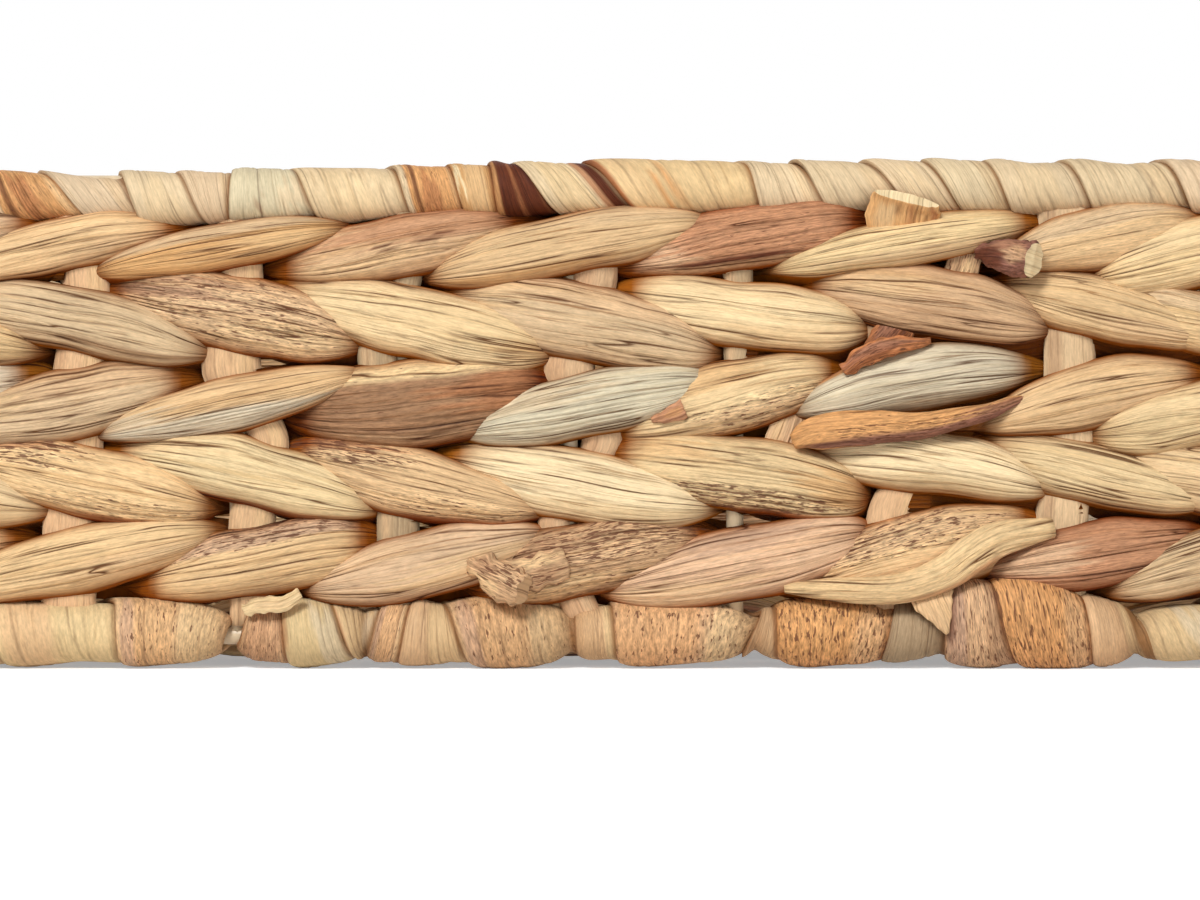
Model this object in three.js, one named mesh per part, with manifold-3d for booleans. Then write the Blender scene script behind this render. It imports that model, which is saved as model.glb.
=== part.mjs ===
// Woven cutlery tray: dried leaf strands twined round a welded wire frame, with leaf-lashed rims,
// a plain-woven base and three woven dividers. Millimetres, +Z up. The origin is on the plane
// that the tray rests on, under the middle of the tray, and the long sides run along X.

import * as THREE from 'three';
import { mergeVertices } from 'three/addons/utils/BufferGeometryUtils.js';
import Module from 'manifold-3d';

// Overall sizes
const trayLength = 340;
const trayWidth = 240;
const trayHeight = 76;
const cornerRadius = 18; // of the middle of the wall, seen from above
const cornerChords = 4; // straight lengths that a bent corner is drawn with
const clearance = 0.3; // between pieces that touch

// Wire frame
const railWireDiameter = 2.8;
const stakeWireDiameter = 2.6; // uprights and the cross wires under the base
const wireSides = 6;
const stakePitch = 24.6; // wanted spacing, and each side takes a whole number of spaces

// Twined walls
const courseHeight = 11.6; // wanted height of one course, and the wall takes a whole number
const strandThickness = 3.6;
const passingGap = 0.7; // between the two strands of a course where they pass each other

// Lashed rims
const topLashingDiameter = 7.9; // over its corners, top to bottom
const bottomLashingDiameter = 9.8; // over its flats
const shortestLap = 0.5; // a lap that would be narrower than this at a rim's end is left off

// Woven base
const baseStripWidth = 15.4; // wanted width, and the base takes a whole number of strips
const baseStripThickness = 2.4;

// Dividers
const dividerDrop = 10; // from the top of the tray down to the top of the dividers
const dividerStakePitch = 35; // wanted spacing
const dividerStakeInset = 6; // from a divider's end to its first upright
const dividerStrandHeight = 12.1; // wanted height of one strand
const dividerStrandThickness = 2.8;
const endCompartmentWidth = 68; // wanted width of the crosswise compartment
const lengthwiseCompartments = 3;

// Finishes: the leaf dries to many tones, and each strand has one of its own
const leafTones = [0xdcc293, 0xe6d3a6, 0xcfa877, 0xb98a62, 0xbcb38a, 0xd2b489, 0xc79a6b];
const lashingTones = [0xe4d2a4, 0xd9b886, 0xcf9f68, 0xe0c897];
const wireColour = 0xe9dfc4;

const leafMaterial = (tone) =>
  new THREE.MeshStandardMaterial({ color: tone, roughness: 0.72, metalness: 0, flatShading: true });
const wireMaterial = () =>
  new THREE.MeshStandardMaterial({ color: wireColour, roughness: 0.45, metalness: 0, flatShading: true });

const wasm = await Module();
wasm.setup();

// Sizes that follow from the ones above
const railWireRadius = railWireDiameter / 2;
const stakeWireRadius = stakeWireDiameter / 2;
const strandOffset = stakeWireRadius + clearance + strandThickness / 2;
const wallReach = strandOffset + strandThickness / 2;
const bottomLashingReach = bottomLashingDiameter / 2 / Math.cos(Math.PI / 6);
const ringOverhang = Math.max(wallReach, bottomLashingReach);
const ringHalfLength = trayLength / 2 - ringOverhang;
const ringHalfWidth = trayWidth / 2 - ringOverhang;
const bottomRailZ = bottomLashingDiameter / 2;
const topRailZ = trayHeight - topLashingDiameter / 2;
const stakeGroove = stakeWireRadius + clearance; // half the width left open for a stake

// Closed solid from a list of triangles, with its faces turned outwards
function solidFrom(triangles) {
  const soup = new THREE.BufferGeometry().setFromPoints(triangles.flat());
  const geometry = mergeVertices(soup, 1e-4);
  const index = geometry.getIndex();
  const [a, b, c] = [new THREE.Vector3(), new THREE.Vector3(), new THREE.Vector3()];
  let volume = 0;
  for (let i = 0; i < index.count; i += 3) {
    a.fromBufferAttribute(geometry.attributes.position, index.getX(i));
    b.fromBufferAttribute(geometry.attributes.position, index.getX(i + 1));
    c.fromBufferAttribute(geometry.attributes.position, index.getX(i + 2));
    volume += a.dot(b.cross(c));
  }
  if (volume < 0) index.array.reverse();
  geometry.computeVertexNormals();
  return geometry;
}

// Two triangles for a quad whose corners are given in order
const quad = (a, b, c, d) => [[a, b, c], [a, c, d]];

// Skin over sections of equal point counts, either closed on itself or capped at both ends
function loft(sections, closed) {
  const triangles = [];
  const count = sections[0].length;
  const spans = closed ? sections.length : sections.length - 1;
  for (let i = 0; i < spans; i++) {
    const here = sections[i];
    const next = sections[(i + 1) % sections.length];
    for (let j = 0; j < count; j++) {
      const k = (j + 1) % count;
      triangles.push(...quad(here[j], here[k], next[k], next[j]));
    }
  }
  if (!closed) {
    const last = sections[sections.length - 1];
    for (let j = 1; j < count - 1; j++) {
      triangles.push([sections[0][0], sections[0][j + 1], sections[0][j]]);
      triangles.push([last[0], last[j], last[j + 1]]);
    }
  }
  return solidFrom(triangles);
}

// A route seen from above. place(s, n, z) is the point at the distance s along it, n to its right
// and at the height z. It bends only at its breaks, where the offset n follows the mitre. Beyond
// one shortest length from a break the offset is square to the route.
function route(points, closed) {
  const corners = closed ? [...points, points[0]] : points;
  const breaks = [0];
  const normals = [];
  for (let i = 1; i < corners.length; i++) {
    const along = corners[i].clone().sub(corners[i - 1]);
    breaks.push(breaks[i - 1] + along.length());
    normals.push(new THREE.Vector2(along.y, -along.x).normalize());
  }
  const length = breaks[breaks.length - 1];
  const last = normals.length - 1;
  const lengths = normals.map((_, i) => breaks[i + 1] - breaks[i]);
  const mitreReach = Math.min(...lengths);
  // Lean of the mitre along the length before it, for each break
  const leans = corners.map((_, i) => {
    const before = i > 0 ? normals[i - 1] : normals[closed ? last : 0];
    const after = i <= last ? normals[i] : normals[closed ? 0 : last];
    return before.cross(after) / (1 + before.dot(after));
  });
  function place(s, n, z) {
    const d = closed ? ((s % length) + length) % length : s;
    let i = 0;
    while (i < last && d > breaks[i + 1]) i++;
    const past = d - breaks[i];
    const left = breaks[i + 1] - d;
    const spot = corners[i].clone().lerp(corners[i + 1], past / lengths[i]);
    const along = new THREE.Vector2(-normals[i].y, normals[i].x);
    const lean =
      leans[i + 1] * Math.max(0, 1 - left / mitreReach) - leans[i] * Math.max(0, 1 - past / mitreReach);
    spot.addScaledVector(normals[i], n).addScaledVector(along, n * lean);
    return new THREE.Vector3(spot.x, spot.y, z);
  }
  // Angle of the route's direction, from the mitre at that distance
  function heading(s) {
    const out = place(s, 1, 0).sub(place(s, 0, 0));
    return Math.atan2(out.x, -out.y);
  }
  return { length, breaks, mitreReach, place, heading };
}

// Middle line of the wall: a rounded rectangle, from the middle of the front left corner
// along the front, counter-clockwise from above
function wallRoute() {
  const arcs = [
    [1, -1, -90],
    [1, 1, 0],
    [-1, 1, 90],
    [-1, -1, 180],
  ];
  const points = arcs.flatMap(([sideX, sideY, start]) => {
    const centre = new THREE.Vector2(
      sideX * (ringHalfLength - cornerRadius),
      sideY * (ringHalfWidth - cornerRadius),
    );
    return Array.from({ length: cornerChords + 1 }, (_, i) => {
      const angle = THREE.MathUtils.degToRad(start + (90 * i) / cornerChords);
      const arm = new THREE.Vector2(Math.cos(angle), Math.sin(angle));
      return centre.clone().addScaledVector(arm, cornerRadius);
    });
  });
  const half = cornerChords / 2;
  const firstHalf = points.splice(points.length - half - 1);
  return route([...firstHalf, ...points], true);
}

const wall = wallRoute();

// Each side of the ring runs from corner middle to corner middle and holds a whole number of spaces
const halfRing = wall.length / 2;
const longSide = halfRing / 2 + ringHalfLength - ringHalfWidth;
const shortSide = halfRing - longSide;
const spaces = (length, pitch) => Math.max(2, Math.round(length / pitch));
const longSpaces = spaces(longSide, stakePitch);
const shortSpaces = spaces(shortSide, stakePitch);
const sides = [
  { name: 'front', start: 0, length: longSide, count: longSpaces },
  { name: 'right', start: longSide, length: shortSide, count: shortSpaces },
  { name: 'back', start: halfRing, length: longSide, count: longSpaces },
  { name: 'left', start: halfRing + longSide, length: shortSide, count: shortSpaces },
];
const stakes = sides.flatMap((side) =>
  Array.from({ length: side.count }, (_, k) => side.start + (side.length * k) / side.count),
);

// Wire frame: rails, uprights and cross wires welded into one piece

const toManifold = (geometry) => {
  const bare = new THREE.BufferGeometry();
  bare.setAttribute('position', geometry.attributes.position);
  bare.setIndex(geometry.getIndex());
  const merged = mergeVertices(bare, 1e-4);
  const vertProperties = Float32Array.from(merged.attributes.position.array);
  const triVerts = Uint32Array.from(merged.getIndex().array);
  return new wasm.Manifold(new wasm.Mesh({ numProp: 3, vertProperties, triVerts }));
};

function weld(geometries) {
  const joined = geometries.map(toManifold).reduce((sum, next) => sum.add(next));
  const mesh = joined.getMesh();
  const geometry = new THREE.BufferGeometry();
  geometry.setAttribute('position', new THREE.BufferAttribute(mesh.vertProperties, 3));
  geometry.setIndex(new THREE.BufferAttribute(mesh.triVerts, 1));
  geometry.computeVertexNormals();
  return geometry;
}

// Rail along a route, with corners of its section towards both sides
function railWire(path, z, closed) {
  const section = (s) =>
    Array.from({ length: wireSides }, (_, i) => {
      const angle = (2 * Math.PI * i) / wireSides;
      const out = railWireRadius * Math.cos(angle);
      return path.place(s, out, z + railWireRadius * Math.sin(angle));
    });
  const stops = closed ? path.breaks.slice(0, -1) : path.breaks;
  return loft(stops.map(section), closed);
}

// Upright at a distance along a route, with corners of its section along the route
function stakeWire(path, s, bottom, top) {
  const height = top - bottom;
  const wire = new THREE.CylinderGeometry(stakeWireRadius, stakeWireRadius, height, wireSides);
  wire.rotateX(Math.PI / 2);
  wire.rotateZ(path.heading(s) + Math.PI / 2);
  const foot = path.place(s, 0, bottom + height / 2);
  return wire.translate(foot.x, foot.y, foot.z);
}

// The uprights along the straight of the long sides carry the cross wires under the base
const straightEnd = ringHalfLength - cornerRadius - wall.mitreReach;
const crossStakes = stakes.slice(1, longSpaces).filter((s) => Math.abs(wall.place(s, 0, 0).x) < straightEnd);
const crossWireX = crossStakes.map((s) => wall.place(s, 0, 0).x);

function crossWire(s) {
  const end = wall.place(s, 0, bottomRailZ);
  const length = 2 * Math.abs(end.y);
  const wire = new THREE.CylinderGeometry(stakeWireRadius, stakeWireRadius, length, wireSides);
  wire.rotateY(Math.PI / 2);
  return wire.translate(end.x, 0, end.z);
}

const wireFrame = () =>
  weld([
    railWire(wall, bottomRailZ, true),
    railWire(wall, topRailZ, true),
    ...stakes.map((s) => stakeWire(wall, s, bottomRailZ, topRailZ)),
    ...crossStakes.map(crossWire),
  ]);

// Twined walls

const wallFloor = bottomLashingDiameter + clearance / 2;
const wallSpan = topRailZ - topLashingDiameter / 2 - clearance / 2 - wallFloor;
const courseCount = Math.max(1, Math.round(wallSpan / courseHeight));
const coursePitch = wallSpan / courseCount;
const strandHalfHeight = (coursePitch - clearance) / 2;
const passingHalfHeight = (strandHalfHeight - passingGap / 2) / 2;
const passingOffset = strandHalfHeight - passingHalfHeight;

// Section of a flattened strand: its two faces and its two edges
const strandSection = (path, s, n, z, halfThickness, halfHeight) => [
  path.place(s, n + halfThickness, z),
  path.place(s, n, z + halfHeight),
  path.place(s, n - halfThickness, z),
  path.place(s, n, z - halfHeight),
];

// One of the two strands of a course. It passes outside one stake and inside the next, and between
// two stakes it passes its partner, above it or below it. With twist 1 the strand that is outside
// climbs along the route, and with twist -1 it falls, so that courses lean opposite ways in turn.
function twinedStrand(courseZ, twist, firstSide) {
  const sections = [];
  stakes.forEach((s, k) => {
    const side = k % 2 === 0 ? firstSide : -firstSide;
    const next = k + 1 < stakes.length ? stakes[k + 1] : wall.length;
    const half = strandThickness / 2;
    const height = twist * strandHalfHeight;
    sections.push(strandSection(wall, s, side * strandOffset, courseZ, half, height));
    const passZ = courseZ + twist * side * passingOffset;
    sections.push(strandSection(wall, (s + next) / 2, 0, passZ, half, twist * passingHalfHeight));
  });
  return loft(sections, true);
}

// Lashings: a strip of leaf wound round a rail as one unbroken helix, one lap to a space between
// stakes. On the facets that stakes and cross wires pass through, a lap runs straight round the
// rail and leaves a groove for them. On the other facets it moves on to the next space.

// Corners of the winding in the order that the strip meets them: the share of a space that the
// strip has moved on by, and its direction from the rail's middle
function windingCorners(sideCount, firstAngle, turn, straightFacets) {
  const moving = sideCount - straightFacets;
  return Array.from({ length: sideCount }, (_, i) => ({
    angle: THREE.MathUtils.degToRad(firstAngle + (turn * 360 * i) / sideCount),
    advance: Math.max(0, i - straightFacets) / moving,
  }));
}

// Parts of a four-cornered facet between neighbouring breaks of the route, as convex outlines
function splitAtBreaks(outline, breaks) {
  const keep = (points, limit, sign) => {
    const kept = [];
    points.forEach((p, i) => {
      const q = points[(i + 1) % points.length];
      const [dp, dq] = [sign * (p.s - limit), sign * (q.s - limit)];
      if (dp <= 0) kept.push(p);
      if (dp * dq < 0) {
        const t = dp / (dp - dq);
        kept.push({ s: limit, f: p.f + (q.f - p.f) * t });
      }
    });
    return kept;
  };
  const stops = [-Infinity, ...breaks, Infinity];
  const parts = [];
  for (let i = 0; i + 1 < stops.length; i++) {
    let part = outline;
    if (i > 0) part = keep(part, stops[i], -1);
    if (i + 2 < stops.length) part = keep(part, stops[i + 1], 1);
    if (part.length > 2) parts.push(part);
  }
  return parts;
}

// Points of a strip's edge across one facet, with one wherever it crosses a break
function edgePoints(fromS, toS, breaks) {
  const inside = breaks
    .map((b) => ({ s: b, f: (b - fromS) / (toS - fromS) }))
    .filter((p) => p.f > 0 && p.f < 1);
  inside.sort((p, q) => p.f - q.f);
  return [{ s: fromS, f: 0 }, ...inside, { s: toS, f: 1 }];
}

// Names the least gap between neighbouring laps of each lashing
const lapGaps = [];

function lashing(name, path, z, firstMark, pitch, markCount, start, end, winding) {
  const { corners, innerRadius, outerRadius } = winding;
  const stops = [];
  for (let lap = -1; lap < markCount; lap++) {
    for (const corner of corners) {
      const mark = firstMark + (lap + corner.advance) * pitch;
      const low = Math.max(start, mark + stakeGroove);
      const high = Math.min(end, mark + pitch - stakeGroove);
      if (high - low >= shortestLap) stops.push({ ...corner, low, high });
    }
  }
  const breaks = path.breaks.filter((b) => b > start && b < end);
  const point = (from, to, p, radius) => {
    const n = THREE.MathUtils.lerp(Math.cos(from.angle), Math.cos(to.angle), p.f) * radius;
    const up = THREE.MathUtils.lerp(Math.sin(from.angle), Math.sin(to.angle), p.f) * radius;
    return path.place(p.s, n, z + up);
  };
  const triangles = [];
  const edges = [];
  const wallBetween = (from, to, points, flip) => {
    for (let i = 0; i + 1 < points.length; i++) {
      const [p, q] = flip ? [points[i + 1], points[i]] : [points[i], points[i + 1]];
      const inner = [point(from, to, p, innerRadius), point(from, to, q, innerRadius)];
      const outer = [point(from, to, p, outerRadius), point(from, to, q, outerRadius)];
      triangles.push(...quad(inner[0], outer[0], outer[1], inner[1]));
    }
  };
  const endPoints = (stop, f) => {
    const inside = breaks.filter((b) => b > stop.low && b < stop.high);
    return [stop.low, ...inside, stop.high].map((s) => ({ s, f }));
  };
  for (let i = 0; i + 1 < stops.length; i++) {
    const [from, to] = [stops[i], stops[i + 1]];
    const outline = [
      { s: from.low, f: 0 },
      { s: from.high, f: 0 },
      { s: to.high, f: 1 },
      { s: to.low, f: 1 },
    ];
    for (const part of splitAtBreaks(outline, breaks)) {
      for (let j = 1; j + 1 < part.length; j++) {
        const fan = [part[0], part[j], part[j + 1]];
        triangles.push(fan.map((p) => point(from, to, p, outerRadius)));
        triangles.push(fan.map((p) => point(from, to, p, innerRadius)).reverse());
      }
    }
    const low = edgePoints(from.low, to.low, breaks);
    const high = edgePoints(from.high, to.high, breaks);
    wallBetween(from, to, low, false);
    wallBetween(from, to, high, true);
    for (const radius of [innerRadius, outerRadius]) {
      edges.push({
        low: low.map((p) => point(from, to, p, radius)),
        high: high.map((p) => point(from, to, p, radius)),
      });
    }
  }
  const [first, last] = [stops[0], stops[stops.length - 1]];
  wallBetween(first, stops[1], endPoints(first, 0), true);
  wallBetween(stops[stops.length - 2], last, endPoints(last, 1), false);
  lapGaps.push({ name, gap: leastGap(edges, corners.length) });
  return solidFrom(triangles);
}

// Least distance between the high edge of each lap and the low edge of the next, on points
function leastGap(edges, facetsPerLap) {
  let least = Infinity;
  const line = new THREE.Line3();
  const nearest = new THREE.Vector3();
  const middle = new THREE.Vector3();
  edges.forEach((edge, i) => {
    const facing = edges[i + 2 * facetsPerLap];
    if (!facing) return;
    for (let j = 0; j + 1 < facing.low.length; j++) {
      line.set(facing.low[j], facing.low[j + 1]);
      for (let k = 0; k + 1 < edge.high.length; k++) {
        for (const t of [0, 0.25, 0.5, 0.75, 1]) {
          middle.lerpVectors(edge.high[k], edge.high[k + 1], t);
          line.closestPointToPoint(middle, true, nearest);
          least = Math.min(least, nearest.distanceTo(middle));
        }
      }
    }
  });
  return least;
}

// The cavity over its flats leaves the clearance all round the rail
const cavityRadius = (sideCount) => (railWireRadius + clearance) / Math.cos(Math.PI / sideCount);

// Top rims and the dividers' rims: six-sided, corners up and down, straight round the underside,
// over the top from the inside and down the outside
const topWinding = {
  corners: windingCorners(6, 330, -1, 2),
  innerRadius: cavityRadius(6),
  outerRadius: topLashingDiameter / 2,
};

// Bottom rims: six-sided with a flat underneath, straight over the top and down the inside
const bottomWinding = {
  corners: windingCorners(6, 0, 1, 4),
  innerRadius: cavityRadius(6),
  outerRadius: bottomLashingReach,
};

function rimLashing(name, side, z, winding) {
  const pitch = side.length / side.count;
  const start = side.start + clearance / 2;
  const end = side.start + side.length - clearance / 2;
  return lashing(name, wall, z, side.start, pitch, side.count + 1, start, end, winding);
}

// Base: flat strips along the tray, each over one cross wire and under the next

const baseStripOffset = stakeWireRadius + clearance + baseStripThickness / 2;
const baseTop = bottomRailZ + baseStripOffset + baseStripThickness / 2;
const baseReach = ringHalfWidth - bottomLashingReach - clearance;
const baseStripCount = Math.max(1, Math.round((2 * baseReach) / (baseStripWidth + clearance)));
const baseStripPitch = (2 * baseReach) / baseStripCount;

// How far along X the base may reach at a given y, inside the bottom lashing and its corners
function baseEnd(y) {
  const beyond = Math.abs(y) - (ringHalfWidth - cornerRadius);
  if (beyond <= 0) return ringHalfLength - bottomLashingReach - clearance;
  const chordRadius = cornerRadius * Math.cos(Math.PI / (4 * cornerChords));
  const radius = chordRadius - bottomLashingReach - clearance;
  return ringHalfLength - cornerRadius + Math.sqrt(Math.max(0, radius ** 2 - beyond ** 2));
}

function baseStrip(index) {
  const middle = -baseReach + (index + 0.5) * baseStripPitch;
  const edges = [-1, 1].map((side) => middle + (side * (baseStripPitch - clearance)) / 2);
  const half = baseStripThickness / 2;
  const section = (xs, z) => [
    new THREE.Vector3(xs[0], edges[0], z - half),
    new THREE.Vector3(xs[1], edges[1], z - half),
    new THREE.Vector3(xs[1], edges[1], z + half),
    new THREE.Vector3(xs[0], edges[0], z + half),
  ];
  const ends = edges.map(baseEnd);
  const woven = crossWireX.map((x, k) => {
    const side = (k + index) % 2 === 0 ? 1 : -1;
    return section([x, x], bottomRailZ + side * baseStripOffset);
  });
  const first = section(ends.map((x) => -x), bottomRailZ);
  return loft([first, ...woven, section(ends, bottomRailZ)], false);
}

// Dividers: a comb of wire, flat strands woven through its uprights, and a lashed rim

const dividerOffset = stakeWireRadius + clearance + dividerStrandThickness / 2;
const dividerReach = Math.max(
  dividerOffset + dividerStrandThickness / 2,
  (topLashingDiameter / 2) * Math.cos(Math.PI / 6),
);
const dividerRailZ = trayHeight - dividerDrop - topLashingDiameter / 2;
const dividerFoot = baseTop + clearance;
const dividerSpan = dividerRailZ - topLashingDiameter / 2 - dividerFoot;
const dividerStrandCount = Math.max(1, Math.round(dividerSpan / dividerStrandHeight));
const dividerStrandPitch = dividerSpan / dividerStrandCount;

function divider(name, from, to, tone) {
  const path = route([from, to], false);
  const stakeSpan = path.length - 2 * dividerStakeInset;
  const stakeSpaces = spaces(stakeSpan, dividerStakePitch);
  const pitch = stakeSpan / stakeSpaces;
  const marks = Array.from({ length: stakeSpaces + 1 }, (_, k) => dividerStakeInset + k * pitch);
  const comb = weld([
    railWire(path, dividerRailZ, false),
    ...marks.map((s) => stakeWire(path, s, dividerFoot, dividerRailZ)),
  ]);
  const pieces = [
    piece(`${name}_comb`, comb, wireMaterial()),
    piece(
      `${name}_rim_lashing`,
      lashing(name, path, dividerRailZ, marks[0], pitch, marks.length, 0, path.length, topWinding),
      leafMaterial(tone),
    ),
  ];
  for (let i = 0; i < dividerStrandCount; i++) {
    const z = dividerFoot + (i + 0.5) * dividerStrandPitch - clearance / 2;
    const halfHeight = (dividerStrandPitch - clearance) / 2;
    const section = (s, k) => {
      const side = (i + k) % 2 === 0 ? 1 : -1;
      const half = dividerStrandThickness / 2;
      return strandSection(path, s, side * dividerOffset, z, half, halfHeight);
    };
    const sections = [
      section(0, 0),
      ...marks.map(section),
      section(path.length, marks.length - 1),
    ];
    const strandTone = leafTones[(i * 2 + name.length) % leafTones.length];
    pieces.push(piece(`${name}_strand_${i + 1}`, loft(sections, false), leafMaterial(strandTone)));
  }
  return pieces;
}

// The tray

function piece(name, geometry, material) {
  const mesh = new THREE.Mesh(geometry, material);
  mesh.name = name;
  return mesh;
}

const tray = new THREE.Group();
tray.name = 'woven_cutlery_tray';
tray.add(piece('wire_frame', wireFrame(), wireMaterial()));

for (let course = 0; course < courseCount; course++) {
  const z = wallFloor + (course + 0.5) * coursePitch;
  const twist = course % 2 === 0 ? 1 : -1;
  ['a', 'b'].forEach((letter, i) => {
    const tone = leafTones[(course * 2 + i * 3) % leafTones.length];
    const strand = twinedStrand(z, twist, i === 0 ? 1 : -1);
    tray.add(piece(`wall_course_${course + 1}_strand_${letter}`, strand, leafMaterial(tone)));
  });
}

sides.forEach((side, i) => {
  const bottomName = `bottom_rim_lashing_${side.name}`;
  const topName = `top_rim_lashing_${side.name}`;
  const bottom = rimLashing(bottomName, side, bottomRailZ, bottomWinding);
  const top = rimLashing(topName, side, topRailZ, topWinding);
  tray.add(piece(bottomName, bottom, leafMaterial(lashingTones[(i + 2) % lashingTones.length])));
  tray.add(piece(topName, top, leafMaterial(lashingTones[i % lashingTones.length])));
});

for (let i = 0; i < baseStripCount; i++) {
  const number = String(i + 1).padStart(2, '0');
  tray.add(piece(`base_strip_${number}`, baseStrip(i), leafMaterial(leafTones[i % leafTones.length])));
}

// The cross divider stands on the cross wire nearest to the wanted place
const innerHalfLength = ringHalfLength - wallReach - clearance;
const innerHalfWidth = ringHalfWidth - wallReach - clearance;
const wantedX = -innerHalfLength + endCompartmentWidth + dividerReach;
const crossX = crossWireX.reduce((best, x) =>
  Math.abs(x - wantedX) < Math.abs(best - wantedX) ? x : best,
);
tray.add(
  ...divider(
    'cross_divider',
    new THREE.Vector2(crossX, -innerHalfWidth),
    new THREE.Vector2(crossX, innerHalfWidth),
    lashingTones[1],
  ),
);

// The long dividers share out the rest of the width
const dividerThickness = 2 * dividerReach;
const openWidth = 2 * innerHalfWidth - (lengthwiseCompartments - 1) * dividerThickness;
const compartmentWidth = openWidth / lengthwiseCompartments;
for (let i = 1; i < lengthwiseCompartments; i++) {
  const y = -innerHalfWidth + i * (compartmentWidth + dividerThickness) - dividerReach;
  const start = new THREE.Vector2(crossX + dividerReach + clearance, y);
  const end = new THREE.Vector2(innerHalfLength, y);
  tray.add(...divider(`long_divider_${i}`, start, end, lashingTones[(i + 2) % lashingTones.length]));
}

const tightest = lapGaps.reduce((least, lap) => (lap.gap < least.gap ? lap : least));
console.log(`Least gap between laps: ${tightest.gap.toFixed(2)} mm, in ${tightest.name}`);

export default tray;
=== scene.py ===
"""Woven leaf cutlery tray on a coated wire frame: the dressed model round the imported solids.

Run as a script it registers its panel and operators, then calls them in order. Shapes are worked
out in millimetres in the frame of the solids and turned into metres when a mesh is made.
"""

import math

import bpy
import numpy as np
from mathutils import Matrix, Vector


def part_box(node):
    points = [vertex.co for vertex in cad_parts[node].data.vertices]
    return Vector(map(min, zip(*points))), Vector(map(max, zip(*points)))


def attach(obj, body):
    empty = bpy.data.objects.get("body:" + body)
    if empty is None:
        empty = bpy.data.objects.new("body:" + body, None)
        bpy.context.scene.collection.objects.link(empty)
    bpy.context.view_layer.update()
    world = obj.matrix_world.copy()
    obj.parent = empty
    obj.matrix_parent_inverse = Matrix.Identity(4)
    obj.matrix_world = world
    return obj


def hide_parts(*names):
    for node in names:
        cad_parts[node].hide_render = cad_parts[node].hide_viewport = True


bl_info = {
    "name": "Woven cutlery tray",
    "version": (1, 0, 0),
    "blender": (4, 5, 0),
    "location": "3D view > Sidebar > Woven tray",
    "description": "Builds the leaf weave, lashings, wire frame and studio of a woven cutlery tray",
    "category": "Object",
}

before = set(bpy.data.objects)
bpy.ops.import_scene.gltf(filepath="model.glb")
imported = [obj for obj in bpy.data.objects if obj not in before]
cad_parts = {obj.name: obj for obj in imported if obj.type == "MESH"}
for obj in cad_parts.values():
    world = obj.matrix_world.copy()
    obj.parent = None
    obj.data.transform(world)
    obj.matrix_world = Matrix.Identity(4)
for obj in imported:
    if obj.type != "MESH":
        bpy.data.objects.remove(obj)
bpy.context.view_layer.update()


def mm(metres):
    """Metres to millimetres."""
    return metres * 1000


def node_box(name):
    """A solid's lowest and highest corners, in millimetres."""
    low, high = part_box(name)
    return mm(np.array(low)), mm(np.array(high))


def middle_height(name):
    """The height of the middle of a solid, in millimetres."""
    low, high = node_box(name)
    return (low[2] + high[2]) / 2


# The rounded rectangle that the walls follow, and the uprights along it
SIDES = (("front", 0, 13), ("right", 13, 22), ("back", 22, 35), ("left", 35, 44))
STAKES = 44
LONG_SPACES = 13
SHORT_SPACES = 9
CROSS_WIRES = 12
BASE_STRIPS = 14
HALF_LENGTH = 164.342
HALF_WIDTH = 114.342
CORNER_RADIUS = 18.0
HALF_BEND = 14.047
COURSES = 5
COURSE_HEIGHTS = [middle_height(f"wall_course_{c + 1}_strand_a") for c in range(COURSES)]
TOP_RIM_HEIGHT = middle_height("top_rim_lashing_front")
BOTTOM_RIM_HEIGHT = middle_height("bottom_rim_lashing_front")
LONG_PITCH = (2 * (HALF_LENGTH - CORNER_RADIUS) + 2 * HALF_BEND) / LONG_SPACES
SHORT_PITCH = (2 * (HALF_WIDTH - CORNER_RADIUS) + 2 * HALF_BEND) / SHORT_SPACES


# Where the fixed seeds of each kind of piece start. A course, strip or end adds its own number.
SHEATH_SEED = 40
COURSE_SEED = 100
LOOSE_END_SEED = 300
BASE_SEED = 800
DIVIDER_SEED = 900


# Colours and sizes that a user would change


def colour(name, description, red, green, blue):
    """A colour setting whose default is given as it looks on a screen, 0 to 255."""
    return bpy.props.FloatVectorProperty(
        name=name,
        description=description,
        subtype="COLOR",
        size=3,
        min=0.0,
        max=1.0,
        default=tuple(linear((red, green, blue))),
    )


def linear(screen):
    """Screen colour 0 to 255 to linear light: the standard curve, a power of 2.4 with a straight foot."""
    c = np.array(screen, float) / 255
    return np.where(c <= 0.04045, c / 12.92, ((c + 0.055) / 1.055) ** 2.4)


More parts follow.
